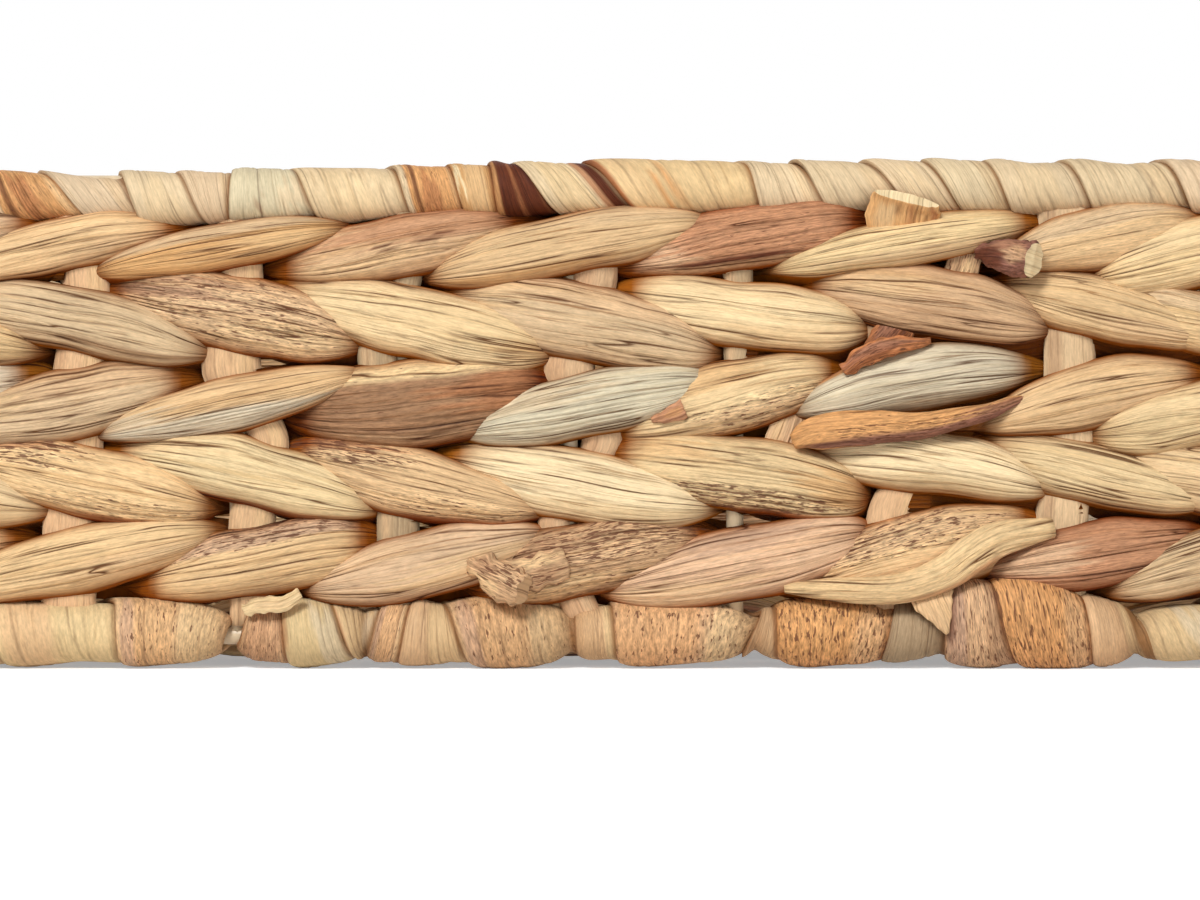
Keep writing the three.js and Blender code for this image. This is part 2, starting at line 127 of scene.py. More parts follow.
class LeafColours(bpy.types.PropertyGroup):
    """The tones of the dried leaf, and of the wire."""

    straw: colour("Straw", "Most of the woven leaf", 222, 182, 134)
    cream: colour("Cream", "Palest woven leaf", 230, 195, 148)
    pale_cream: colour("Pale cream", "Bleached leaf", 240, 210, 164)
    straw_yellow: colour("Straw yellow", "Warm yellow leaf", 228, 192, 143)
    tan: colour("Tan", "Darker woven leaf", 212, 170, 128)
    pink_tan: colour("Pink tan", "Leaf with a pink cast", 222, 180, 142)
    mauve: colour("Mauve tan", "Leaf with a mauve cast", 217, 176, 138)
    tan_grey: colour("Grey tan", "Weathered leaf", 211, 176, 137)
    sage: colour("Sage", "Leaf dried green", 210, 190, 162)
    rosy: colour("Rosy brown", "Reddened leaf", 183, 130, 95)
    russet: colour("Russet", "Red-brown leaf", 172, 108, 68)
    rough_brown: colour("Rough brown", "Coarse brown leaf", 196, 154, 115)
    cocoa: colour("Cocoa", "Brown streaks", 158, 114, 82)
    orange: colour("Orange", "Orange streaks of the lashing", 208, 150, 96)
    chocolate: colour("Chocolate", "Darkest streaks of the lashing", 88, 40, 20)
    green_grey: colour("Green grey", "Greenish band of the lashing", 202, 184, 148)
    rim_cream: colour("Rim cream", "The top lashing", 216, 186, 148)
    khaki: colour("Khaki", "Brown-green patch of the bottom lashing", 170, 143, 110)
    plum: colour("Plum", "Purple-brown streaks", 132, 86, 70)
    amber: colour("Amber", "Deep golden leaf", 210, 158, 104)
    sage_grey: colour("Grey sage", "Grey-green leaf", 212, 192, 162)
    mauve_grey: colour("Grey mauve", "Purple-grey cast on pale leaf", 190, 150, 122)
    foot_tan: colour("Foot tan", "The bottom lashing", 212, 170, 127)
    foot_straw: colour("Foot straw", "Yellow leaf of the bottom lashing", 214, 181, 134)
    coating: colour("Wire coating", "The cream coat of the wire", 214, 186, 150)


def length(name, description, millimetres):
    """A length setting whose default is given in millimetres."""
    return bpy.props.FloatProperty(
        name=name, description=description, default=millimetres / mm(1), unit="LENGTH"
    )


class TraySizes(bpy.types.PropertyGroup):
    """Sizes of the leaf and wire, as they are seen."""

    rail_wire: length("Rail wire", "Diameter of the two rails", 2.8)
    stake_wire: length("Upright wire", "Diameter of the uprights and the wires under the base", 2.6)
    stitch_height: length("Stitch half height", "Half the height of a stitch at its middle", 5.0)
    stitch_reach: length("Stitch reach", "How far a stitch stands out from the middle of the wall", 5.2)
    top_lashing: length("Top lashing", "Diameter of the top lashing", 9.0)
    bottom_lashing: length("Bottom lashing", "Diameter of the bottom lashing", 11.4)
    sheath_width: length("Upright sheath", "Width of the flat leaf along an upright", 8.0)


def size(name):
    """A size setting, in millimetres."""
    return mm(getattr(bpy.context.scene.tray_sizes, name))


def tones():
    """The colour settings by name, as linear red, green and blue."""
    group = bpy.context.scene.tray_colours
    return {name: np.array(getattr(group, name)) for name in LeafColours.__annotations__}


# Surfaces. A wandering line has this many sines.
WAVES = 6
# The leaf's pattern is read over this half width, and this far on for the inner face and for each stitch
PATTERN_HALF = 6
INNER_SHIFT = 20
STITCH_SHIFT = 40


def faced(outer, inner):
    """Rows round a flat section: the columns of its outer face, then those of its inner face turned back."""
    return np.concatenate([outer, inner[..., ::-1]], -1)


def smoothstep(low, high, value):
    """0 below low, 1 above high, and the cubic 3t2 - 2t3 between."""
    t = np.clip((value - low) / (high - low), 0, 1)
    return t * t * (3 - 2 * t)


def wander(x, period, shortest, longest, rng):
    """Smooth wandering of about -1 to 1: sines with whole cycles over the period, so that a ring closes.
    Their wavelengths lie between shortest and longest."""
    lengths = np.exp(rng.uniform(np.log(shortest), np.log(longest), WAVES))
    cycles = np.maximum(1, np.round(period / lengths))
    phases = rng.uniform(0, 2 * np.pi, WAVES)
    total = sum(np.sin(2 * np.pi * c * x / period + p) for c, p in zip(cycles, phases))
    return total / math.sqrt(WAVES)


def wall_place(x, n, z):
    """A place on the walls in millimetres. x counts uprights from the front left corner, n is outward and
    z up. Each side is half a bend, a straight and half a bend: on a bend the place turns about the
    corner's centre."""
    x, n, z = np.broadcast_arrays(np.asarray(x, float) % STAKES, n, z)
    firsts, lasts = np.array([[first, last] for _, first, last in SIDES]).T
    side = np.searchsorted(lasts[:-1], x, side="right")
    first, count = firsts[side], (lasts - firsts)[side]
    half = np.array([HALF_LENGTH, HALF_WIDTH, HALF_LENGTH, HALF_WIDTH])[side]
    depth = np.array([HALF_WIDTH, HALF_LENGTH, HALF_WIDTH, HALF_LENGTH])[side]
    straight = 2 * (half - CORNER_RADIUS)
    s = (x - first) / count * (straight + 2 * HALF_BEND)
    bend = np.clip(s - HALF_BEND, -HALF_BEND, 0) + np.clip(s - HALF_BEND - straight, 0, HALF_BEND)
    bend = bend / HALF_BEND * math.pi / 4
    along = np.clip(s - HALF_BEND, 0, straight) - straight / 2 + (CORNER_RADIUS + n) * np.sin(bend)
    out = depth - CORNER_RADIUS + (CORNER_RADIUS + n) * np.cos(bend)
    along_x = np.array([1, 0, -1, 0])[side]
    along_y = np.array([0, 1, 0, -1])[side]
    return np.stack([along * along_x + out * along_y, along * along_y - out * along_x, z], -1)


def unit(directions):
    """Rows of directions, each made one long."""
    return directions / np.linalg.norm(directions, axis=1, keepdims=True)


def lengths_along(path):
    """How far along a path each of its points is."""
    return np.concatenate([[0], np.cumsum(np.linalg.norm(np.diff(path, axis=0), axis=1))])


def side_route(first, pitch):
    """A route that takes millimetres along one side of the tray, from its first corner."""
    return lambda s, n, z: wall_place(first + s / pitch, n, z)


def straight_route(start, end):
    """A straight route on the floor plan from start to end: n is to the right of the way it runs."""
    start, end = np.array(start, float), np.array(end, float)
    along = (end - start) / np.linalg.norm(end - start)
    right = np.array([along[1], -along[0]])

    def place(s, n, z):
        s, n, z = np.broadcast_arrays(s, n, z)
        flat = start + s[..., None] * along + n[..., None] * right
        return np.concatenate([flat, z[..., None]], -1)

    return place


def tube(points, u, v, tone, crease, ring=False):
    """A closed tube: its corners, its faces as blocks of corner numbers and of UV, its tone and its
    creases. points[i, j] runs along by i and round the section by j, which closes on itself. A ring joins
    its last section to its first, and any other tube has a face over each end."""
    rows, columns = points.shape[:2]
    i, j = np.meshgrid(np.arange(rows if ring else rows - 1), np.arange(columns), indexing="ij")
    i2, j2 = (i + 1) % rows, (j + 1) % columns
    quads = np.stack([i * columns + j, i2 * columns + j, i2 * columns + j2, i * columns + j2], -1)
    quads = quads.reshape(-1, 4)
    u_ring = np.append(u, 2 * u[-1] - u[-2])
    v_ring = np.concatenate([v, v[:, :1]], 1)
    u_loops = np.stack([u_ring[i], u_ring[i + 1], u_ring[i + 1], u_ring[i]], -1)
    v_loops = np.stack([v_ring[i, j], v_ring[i2, j], v_ring[i2, j + 1], v_ring[i, j + 1]], -1)
    blocks = [(quads, np.stack([u_loops, v_loops], -1).reshape(-1, 4, 2))]
    if not ring:
        around = np.arange(columns)
        for row, order in ((0, around), (rows - 1, around[::-1])):
            uv = np.stack([np.full(columns, u[row]), v[row][order]], -1)
            blocks.append(((row * columns + order)[None], uv[None]))
    corners = points.reshape(-1, 3)
    a, b, c, d = (corners[quads[:, k]] for k in range(4))
    volume = np.einsum("ij,ij->i", np.cross(b - a, c - a), a).sum()
    volume += np.einsum("ij,ij->i", np.cross(c - a, d - a), a).sum()
    if volume < 0:
        blocks = [(faces[:, ::-1], uv[:, ::-1]) for faces, uv in blocks]
    return corners, blocks, tone.reshape(-1, 4), crease.reshape(-1)


def make_piece(name, tubes, material, replaced=()):
    """One object at the origin from closed tubes, with the strip's own lengths as UV, its tone and its
    creases."""
    corners, loops, uv, sizes, tones, creases = [], [], [], [], [], []
    base = 0
    for points, blocks, tone, crease in tubes:
        for faces, face_uv in blocks:
            loops.append(faces.reshape(-1) + base)
            uv.append(face_uv.reshape(-1, 2))
            sizes.append(np.full(len(faces), faces.shape[1]))
        corners.append(points)
        tones.append(tone)
        creases.append(crease)
        base += len(points)
    loops, sizes = np.concatenate(loops), np.concatenate(sizes)
    mesh = bpy.data.meshes.new(name)
    mesh.vertices.add(base)
    mesh.loops.add(len(loops))
    mesh.polygons.add(len(sizes))
    fill(mesh.vertices, "co", np.concatenate(corners) / mm(1))
    mesh.loops.foreach_set("vertex_index", loops.astype(np.int32))
    starts = np.concatenate([[0], np.cumsum(sizes)[:-1]])
    mesh.polygons.foreach_set("loop_start", starts.astype(np.int32))
    mesh.polygons.foreach_set("use_smooth", np.ones(len(sizes), bool))
    mesh.update(calc_edges=True)
    fill(mesh.uv_layers.new(name="strip").data, "uv", np.concatenate(uv))
    layer = mesh.attributes.new("leaf_tone", "FLOAT_COLOR", "POINT")
    fill(layer.data, "color", np.concatenate(tones))
    layer = mesh.attributes.new("leaf_crease", "FLOAT", "POINT")
    fill(layer.data, "value", np.concatenate(creases))
    if mesh.validate():
        raise ValueError(f"{name} has a broken face")
    mesh.materials.append(material)
    piece = bpy.data.objects.new(name, mesh)
    bpy.context.scene.collection.objects.link(piece)
    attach(piece, "root")
    if replaced:
        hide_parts(*replaced)


def fill(data, field, values):
    """Sets one field of all the mesh's data from an array of numbers."""
    data.foreach_set(field, values.astype(np.float32).reshape(-1))


# Finishes of the leaf. A finish is a tone, how speckled it is, and then patches of other tones. A patch
# is a tone, its middle along the stitch (-1 to 1) and across it (-1 to 1), its half length and half
# width there, and its strength. The tone named dots adds speckles in place of colour.

FINISHES = {
    "straw": ("straw", 0.15, ("tan", 0.5, -0.4, 0.5, 0.4, 0.5)),
    "straw worn": ("straw", 0.35, ("tan_grey", -0.3, 0.6, 0.9, 0.35, 0.8),
        ("cocoa", 0.6, -0.8, 0.4, 0.2, 0.5)),
    "cream": ("cream", 0.08, ("straw", 0.4, -0.5, 0.5, 0.4, 0.6)),
    "cream streaked": ("cream", 0.2, ("tan", -0.2, -0.5, 0.8, 0.2, 0.7),
        ("straw", 0.5, 0.4, 0.4, 0.4, 0.7)),
    "pale cream": ("pale_cream", 0.05, ("straw_yellow", 0.3, -0.6, 0.7, 0.3, 0.5)),
    "yellow": ("straw_yellow", 0.12, ("cream", -0.2, 0.5, 0.7, 0.4, 0.6)),
    "yellow speckled": ("straw_yellow", 0.2, ("dots", 0.1, -0.6, 0.8, 0.45, 0.8),
        ("cocoa", 0.3, -0.8, 0.6, 0.2, 0.4)),
    "tan": ("tan", 0.25, ("straw", -0.2, 0.4, 0.8, 0.4, 0.6)),
    "tan speckled": ("tan", 0.6, ("plum", 0.2, 0.1, 0.9, 0.25, 0.35), ("dots", 0.0, 0.2, 0.9, 0.7, 0.9)),
    "grey": ("tan_grey", 0.15, ("cocoa", 0.4, -0.6, 0.5, 0.15, 0.4)),
    "sage": ("sage", 0.08, ("tan_grey", -0.4, 0.5, 0.5, 0.4, 0.5)),
    "sage half": ("cream", 0.08, ("sage", 0.0, -0.5, 1.0, 0.55, 0.95)),
    "rosy": ("rosy", 0.4, ("pink_tan", -0.6, 0.1, 0.5, 0.5, 0.7),
        ("chocolate", 0.4, -0.5, 0.5, 0.07, 0.6)),
    "pink": ("pink_tan", 0.2, ("rosy", 0.3, 0.4, 0.6, 0.35, 0.4)),
    "mauve": ("mauve", 0.25, ("straw", -0.5, 0.3, 0.5, 0.4, 0.6)),
    "russet": ("rosy", 0.3, ("russet", 0.2, 0.4, 0.7, 0.4, 0.7), ("pink_tan", -0.5, -0.3, 0.5, 0.5, 0.8)),
    "cocoa half": ("straw", 0.2, ("cocoa", 0.0, -0.35, 1.0, 0.65, 0.9),
        ("russet", 0.75, 0.0, 0.35, 0.8, 0.8)),
    "rough brown": ("rough_brown", 0.7, ("straw", -0.3, -0.3, 0.6, 0.4, 0.7),
        ("dots", 0.2, 0.2, 0.9, 0.7, 1.0)),
    # The seen stitches of the walls
    "amber, grey top": ("amber", 0.1, ("tan_grey", -0.1, 0.75, 0.9, 0.4, 0.85),
        ("straw", 0.5, -0.2, 0.5, 0.5, 0.5)),
    "tan, russet top right": ("tan", 0.35, ("rosy", 0.4, 0.55, 0.85, 0.62, 0.8),
        ("straw", -0.5, -0.5, 0.6, 0.4, 0.5), ("chocolate", 0.06, 0.02, 0.08, 0.2, 0.9)),
    "straw, golden foot": ("straw", 0.1, ("amber", -0.4, -0.75, 0.6, 0.3, 0.6),
        ("tan_grey", 0.4, 0.7, 0.7, 0.3, 0.4)),
    "rosy brown": ("rosy", 0.62, ("pink_tan", -0.75, -0.3, 0.35, 0.6, 0.75),
        ("tan", -0.2, -0.85, 0.7, 0.22, 0.7), ("chocolate", 0.0, -0.62, 0.52, 0.1, 0.95)),
    "tan, plum blotches": ("tan", 0.72, ("plum", -0.5, 0.35, 0.5, 0.18, 0.55),
        ("plum", -0.1, 0.65, 0.4, 0.12, 0.4), ("straw", 0.5, -0.4, 0.5, 0.4, 0.6),
        ("dots", 0.0, 0.1, 0.95, 0.9, 1.0)),
    "yellow cream": ("cream", 0.08, ("straw_yellow", 0.6, 0.2, 0.6, 0.6, 0.8),
        ("amber", 0.9, -0.4, 0.3, 0.5, 0.5)),
    "grey, tan top": ("tan_grey", 0.18, ("tan", 0.2, 0.6, 0.9, 0.35, 0.7),
        ("straw", -0.7, 0.4, 0.4, 0.5, 0.6)),
    "tan with grey": ("tan", 0.15, ("cocoa", 0.3, -0.3, 0.7, 0.2, 0.3),
        ("straw", -0.5, 0.4, 0.5, 0.4, 0.5)),
    "straw over sage": ("straw", 0.1, ("sage", -0.3, -0.55, 1.0, 0.42, 0.95),
        ("sage", -0.9, 0.2, 0.4, 0.6, 0.6)),
    "cocoa, straw top": ("cocoa", 0.5, ("russet", 0.72, 0.15, 0.5, 0.6, 0.6),
        ("rough_brown", -0.2, -0.8, 0.7, 0.2, 0.7), ("straw_yellow", 0.1, 1.0, 2.6, 0.42, 1.0)),
    "yellow, speckled foot": ("straw_yellow", 0.15, ("amber", -0.3, 0.6, 0.6, 0.4, 0.5),
        ("dots", 0.35, -0.5, 0.7, 0.5, 0.95), ("tan", 0.4, -0.6, 0.7, 0.3, 0.6)),
    "sage, orange edge": ("sage_grey", 0.05, ("orange", -0.55, 0.95, 0.4, 0.13, 0.9),
        ("sage", 0.4, 0.3, 0.6, 0.4, 0.6)),
    "cream, russet edge": ("cream", 0.1, ("russet", 0.3, -0.95, 0.6, 0.14, 0.85),
        ("straw", -0.6, 0.5, 0.5, 0.4, 0.6)),
    "straw, russet specks": ("straw", 0.25, ("dots", -0.5, 0.6, 0.55, 0.55, 1.3),
        ("russet", -0.55, 0.75, 0.4, 0.2, 0.6), ("russet", 0.45, -0.92, 0.6, 0.16, 0.9),
        ("dots", 0.4, -0.5, 0.7, 0.4, 0.9)),
    "yellow, specked foot": ("straw_yellow", 0.2, ("dots", 0.0, -0.65, 0.9, 0.35, 1.25),
        ("amber", 0.8, 0.0, 0.3, 0.7, 0.7), ("russet", 0.5, -0.95, 0.5, 0.12, 0.8),
        ("amber", -0.6, 0.5, 0.4, 0.4, 0.5)),
    "straw, mauve top": ("straw", 0.15, ("mauve_grey", 0.1, 0.72, 0.9, 0.3, 0.75),
        ("dots", 0.1, 0.7, 0.9, 0.35, 1.1)),
    # Painted light: a lighter straw that makes up for the top rim's shadow on this stitch
    "straw, lit": ("straw_yellow", 0.15, ("tan", 0.3, -0.5, 0.8, 0.3, 0.5)),
    "pink straw": ("pink_tan", 0.12, ("straw", 0.4, -0.3, 0.6, 0.5, 0.6),
        ("tan", -0.5, 0.6, 0.5, 0.3, 0.5)),
    "mauve straw": ("pink_tan", 0.2, ("mauve_grey", 0.0, 0.62, 0.45, 0.3, 0.7),
        ("straw", -0.5, -0.5, 0.6, 0.4, 0.5)),
    "straw, speckled top": ("straw", 0.2, ("dots", -0.1, 0.5, 0.8, 0.5, 1.1),
        ("tan", -0.2, 0.6, 0.8, 0.4, 0.7)),
    "brown, rough": ("rough_brown", 0.8, ("straw", -0.4, -0.6, 0.6, 0.35, 0.7),
        ("dots", 0.2, 0.4, 0.9, 0.6, 1.3), ("cocoa", -0.5, 0.3, 0.35, 0.5, 0.6),
        ("tan", 0.4, 0.2, 0.6, 0.3, 0.7)),
    # The laps of the top and bottom rims
    "rim plain": ("rim_cream", 0.03, ("straw", -0.2, 0.4, 0.8, 0.2, 0.35)),
    "rim smooth": ("rim_cream", 0.02, ("straw_yellow", 0.3, -0.2, 0.6, 0.5, 0.3)),
    "rim warm": ("rim_cream", 0.05, ("straw", 0.0, 0.2, 0.9, 0.5, 0.6)),
    "rim green": ("green_grey", 0.03, ("rim_cream", -0.05, 0.45, 0.2, 0.4, 0.7),
        ("cocoa", 0.08, -0.35, 0.07, 0.1, 0.5)),
    "rim orange": ("orange", 0.55, ("rim_cream", 0.0, -0.93, 1.2, 0.14, 1.0),
        ("chocolate", 0.0, -0.6, 0.8, 0.06, 0.8), ("russet", 0.05, -0.2, 0.3, 0.3, 0.7),
        ("straw", 0.0, 0.75, 0.8, 0.3, 0.7)),
    "rim amber": ("amber", 0.15, ("pale_cream", -0.08, -0.85, 0.16, 0.22, 1.0),
        ("straw", 0.0, -0.2, 0.8, 0.4, 0.6), ("russet", 0.0, 0.7, 0.9, 0.3, 0.9)),
    "rim chocolate": ("chocolate", 0.3, ("orange", 0.0, -0.98, 0.7, 0.18, 0.7),
        ("russet", 0.2, -0.2, 0.9, 0.09, 0.5), ("russet", 0.0, 0.5, 0.9, 0.06, 0.45)),
    "rim stripes": ("rim_cream", 0.1, ("straw_yellow", 0.0, -0.3, 0.9, 0.4, 0.7),
        ("chocolate", 0.0, 0.5, 0.9, 0.16, 1.0), ("russet", 0.0, 0.28, 0.9, 0.1, 0.8)),
    "rim streaks": ("straw", 0.06, ("russet", 0.0, -0.97, 0.9, 0.06, 1.0),
        ("orange", -0.05, -0.42, 0.4, 0.05, 1.0), ("orange", 0.0, -0.22, 0.5, 0.045, 0.9),
        ("straw", 0.0, -0.7, 0.8, 0.2, 0.6)),
    "foot cream": ("foot_straw", 0.1, ("foot_tan", 0.1, -0.5, 0.8, 0.4, 0.8)),
    "foot green": ("foot_straw", 0.12, ("sage", 0.05, 0.3, 0.4, 0.5, 0.5),
        ("russet", 0.1, -0.95, 0.4, 0.06, 0.6)),
    "foot tan": ("foot_tan", 0.2, ("foot_straw", 0.0, 0.5, 0.9, 0.4, 0.7)),
    "foot lined": ("foot_tan", 0.6, ("dots", 0.2, -0.3, 0.8, 0.6, 0.75),
        ("orange", -0.1, -0.4, 0.8, 0.5, 0.35), ("mauve_grey", 0.1, -0.8, 0.6, 0.13, 0.7),
        ("foot_straw", 0.0, 0.5, 0.9, 0.4, 0.4)),
    "foot smooth": ("foot_tan", 0.05, ("foot_straw", 0.0, 0.2, 0.9, 0.5, 0.6)),
    "foot orange": ("orange", 0.75, ("dots", 0.0, 0.0, 0.9, 0.9, 0.8),
        ("straw", -0.3, 0.5, 0.6, 0.3, 0.6)),
    "foot amber": ("foot_tan", 0.7, ("dots", 0.0, 0.0, 0.9, 0.9, 0.85),
        ("foot_straw", 0.1, 0.6, 0.8, 0.4, 0.6), ("orange", -0.1, -0.45, 0.9, 0.6, 0.55)),
    "foot wedge": ("foot_tan", 0.75, ("rosy", 0.2, -0.2, 0.7, 0.6, 0.5),
        ("dots", 0.0, 0.0, 0.9, 0.9, 0.8)),
    "foot pale wedge": ("foot_tan", 0.1, ("chocolate", 0.22, 0.6, 0.05, 0.2, 0.8)),
    "foot speckled": ("orange", 0.95, ("dots", 0.0, 0.0, 1.0, 1.2, 1.0),
        ("tan", 0.2, 0.6, 0.6, 0.4, 0.5)),
    "foot khaki": ("khaki", 0.1),
    "foot purple": ("foot_tan", 0.85, ("dots", -0.1, 0.0, 0.9, 0.9, 0.95),
        ("mauve_grey", -0.1, -0.7, 0.8, 0.3, 0.9), ("plum", -0.25, -0.8, 0.3, 0.15, 0.6),
        ("cocoa", 0.2, 0.4, 0.5, 0.3, 0.4)),
    # Loose ends and the sheaths of the uprights
    "orange strip": ("amber", 0.15, ("straw", -0.2, 0.5, 0.9, 0.3, 0.7),
        ("russet", 0.3, -0.2, 0.7, 0.12, 0.6), ("chocolate", 0.3, -0.42, 0.9, 0.05, 0.75),
        ("chocolate", 0.4, 0.22, 0.7, 0.04, 0.7), ("russet", 0.2, -0.85, 0.9, 0.1, 0.8)),
    "reddish tip": ("rosy", 0.4, ("orange", 0.3, 0.0, 0.6, 0.5, 0.5)),
    "dark stub": ("plum", 0.8, ("rosy", 0.1, 0.5, 0.7, 0.4, 0.5),
        ("rough_brown", 0.45, 0.1, 0.6, 0.5, 0.75), ("chocolate", -0.6, -0.2, 0.6, 0.7, 0.8)),
    "reddish fold": ("russet", 0.9, ("dots", 0.0, 0.0, 1.0, 1.0, 1.0), ("rosy", 0.2, 0.4, 0.7, 0.3, 0.7),
        ("plum", -0.1, 0.25, 0.9, 0.5, 0.6), ("chocolate", -0.3, -0.5, 0.6, 0.3, 0.6)),
    "thick orange": ("orange", 0.5, ("dots", 0.2, -0.2, 0.9, 0.7, 1.0),
        ("plum", 0.3, -0.75, 1.1, 0.42, 0.95), ("plum", 0.8, 0.0, 0.4, 0.9, 0.8)),
    "torn pale": ("cream", 0.15, ("tan", 0.0, 0.0, 0.6, 0.5, 0.4)),
    "folded tan": ("straw", 0.3, ("straw_yellow", 0.3, 0.3, 0.6, 0.5, 0.6),
        ("russet", 0.35, -0.9, 0.5, 0.2, 0.6)),
    "sheath": ("tan", 0.1, ("straw", 0.0, 0.5, 1.0, 0.3, 0.6), ("cocoa", 0.3, -0.8, 0.5, 0.2, 0.4)),
    "sheath grey": ("tan_grey", 0.1, ("cocoa", 0.0, -0.6, 1.0, 0.3, 0.5)),
    "sheath pink": ("rough_brown", 0.1, ("tan_grey", 0.0, 0.4, 1.2, 0.5, 0.5)),
    "sheath green": ("khaki", 0.1, ("tan", 0.0, -0.5, 1.0, 0.3, 0.5)),
}

# How often each finish turns up where the photograph shows nothing
COMMON = {
    "straw": 5, "straw worn": 3, "cream": 5, "cream streaked": 3, "pale cream": 3, "yellow": 3,
    "yellow speckled": 2, "tan": 3, "tan speckled": 2, "grey": 3, "sage": 2, "sage half": 2, "rosy": 1,
    "pink": 2, "mauve": 2, "russet": 1, "cocoa half": 1, "rough brown": 1,
}

# The outer stitches of the photographed stretch, by course from the bottom, from upright 5 on. Each has its
# finish, its left end, its height at the upright and its right end, and its half height. Ends are in spaces
# along and millimetres up from the course's middle. The last two say how blunt each end is, 0 to 1.
FIRST_SEEN = 5
SEEN_STITCHES = {
    5: (
        ("straw", -0.9, -4.0, 1.0, 0.8, 4.0, 4.4, 0.0, 0.0),
        ("amber, grey top", -0.94, -3.6, 0.9, 0.74, 3.6, 3.7, 0.0, 0.0),
        ("tan, russet top right", -0.9, -2.9, 0.6, 0.86, 4.9, 4.9, 0.1, 0.0),
        ("straw, golden foot", -0.92, -4.1, 0.9, 0.94, 4.2, 4.8, 0.3, 0.0),
        ("rosy brown", -0.84, -2.5, 1.5, 0.87, 4.4, 4.9, 0.0, 0.9),
        ("straw, lit", -0.86, -3.3, 1.1, 0.96, 4.6, 3.8, 0.0, 0.1),
        ("straw worn", -0.44, -1.3, 1.0, 0.95, 4.3, 4.9, 0.0, 0.0),
    ),
    4: (
        ("grey", -0.9, 4.2, 1.4, 0.9, -3.8, 5.2, 0.0, 0.2),
        ("tan, plum blotches", -0.93, 5.8, 2.2, 0.8, -1.9, 5.9, 0.0, 0.5),
        ("yellow cream", -0.93, 6.0, 1.2, 0.97, -3.4, 5.6, 0.0, 0.5),
        ("grey, tan top", -0.92, 4.8, 1.2, 0.96, -3.6, 6.2, 0.0, 0.4),
        ("cream", -0.82, 5.8, 2.3, 0.86, 0.2, 5.1, 0.1, 0.7),
        ("tan with grey", -0.73, 6.0, 4.7, 0.96, 0.0, 5.4, 0.0, 0.3),
        ("straw", -0.56, 6.4, 4.0, 0.96, -1.6, 5.0, 0.0, 0.0),
    ),
    3: (
        ("grey, tan top", -0.9, -4.2, 0.4, 0.84, 4.2, 5.6, 0.0, 0.2),
        ("straw over sage", -0.92, -4.4, 0.5, 0.84, 5.2, 4.3, 0.0, 0.0),
        ("cocoa, straw top", -0.8, -1.0, 0.45, 0.99, 2.4, 6.6, 0.2, 1.0),
        ("sage", -0.72, -4.0, -0.4, 0.96, 4.2, 5.2, 0.0, 0.0),
        ("yellow, speckled foot", -0.85, -3.2, 1.6, 0.76, 5.2, 5.7, 0.3, 0.2),
        ("sage, orange edge", -0.72, -1.0, 3.7, 0.96, 5.6, 4.9, 0.1, 0.0),
        ("straw", -0.58, -3.3, 1.0, 0.95, 4.6, 5.2, 0.0, 0.0),
    ),
    2: (
        ("straw, russet specks", -0.9, 4.4, 1.0, 0.9, -3.6, 5.6, 0.0, 0.4),
        ("cream, russet edge", -0.92, 5.1, 2.2, 0.91, -3.6, 5.2, 0.0, 0.4),
        ("straw, russet specks", -0.8, 4.8, 0.5, 0.92, -4.2, 5.3, 0.3, 0.0),
        ("pale cream", -0.9, 4.6, 0.0, 0.96, -3.5, 5.7, 0.0, 0.1),
        ("yellow, specked foot", -0.86, 4.2, 1.7, 0.84, -1.7, 5.6, 0.4, 0.8),
        ("pale cream", -0.7, 4.0, 3.9, 0.96, -0.8, 5.0, 0.0, 0.2),
        ("cream", -0.7, 5.7, 2.4, 0.95, -3.0, 5.0, 0.0, 0.0),
    ),
    1: (
        ("straw", -0.87, -4.4, 0.2, 0.96, 4.8, 5.2, 0.0, 0.1),
        ("straw, mauve top", -0.7, -3.7, -0.2, 0.91, 3.0, 5.4, 0.1, 0.8),
        ("pink straw", -0.66, -4.2, -0.9, 0.93, 4.3, 5.3, 0.0, 0.1),
        ("brown, rough", -0.67, -3.0, 0.1, 0.96, 3.9, 5.7, 0.6, 0.1),
        ("mauve straw", -0.86, -4.4, -0.4, 0.87, 4.2, 5.7, 0.0, 0.6),
        ("straw, speckled top", -0.82, -4.0, 1.0, 0.96, 5.2, 6.2, 0.0, 0.3),
        ("rosy", -0.56, -1.7, 0.5, 0.95, 4.0, 5.1, 0.0, 0.0),
    ),
}

# The stitches of the stretch whose upper end lies over the next stitch, where the others pass under it
HIGH_ENDS_OVER = ((5, 6), (5, 8), (3, 6), (3, 8), (1, 5), (1, 7), (1, 9))


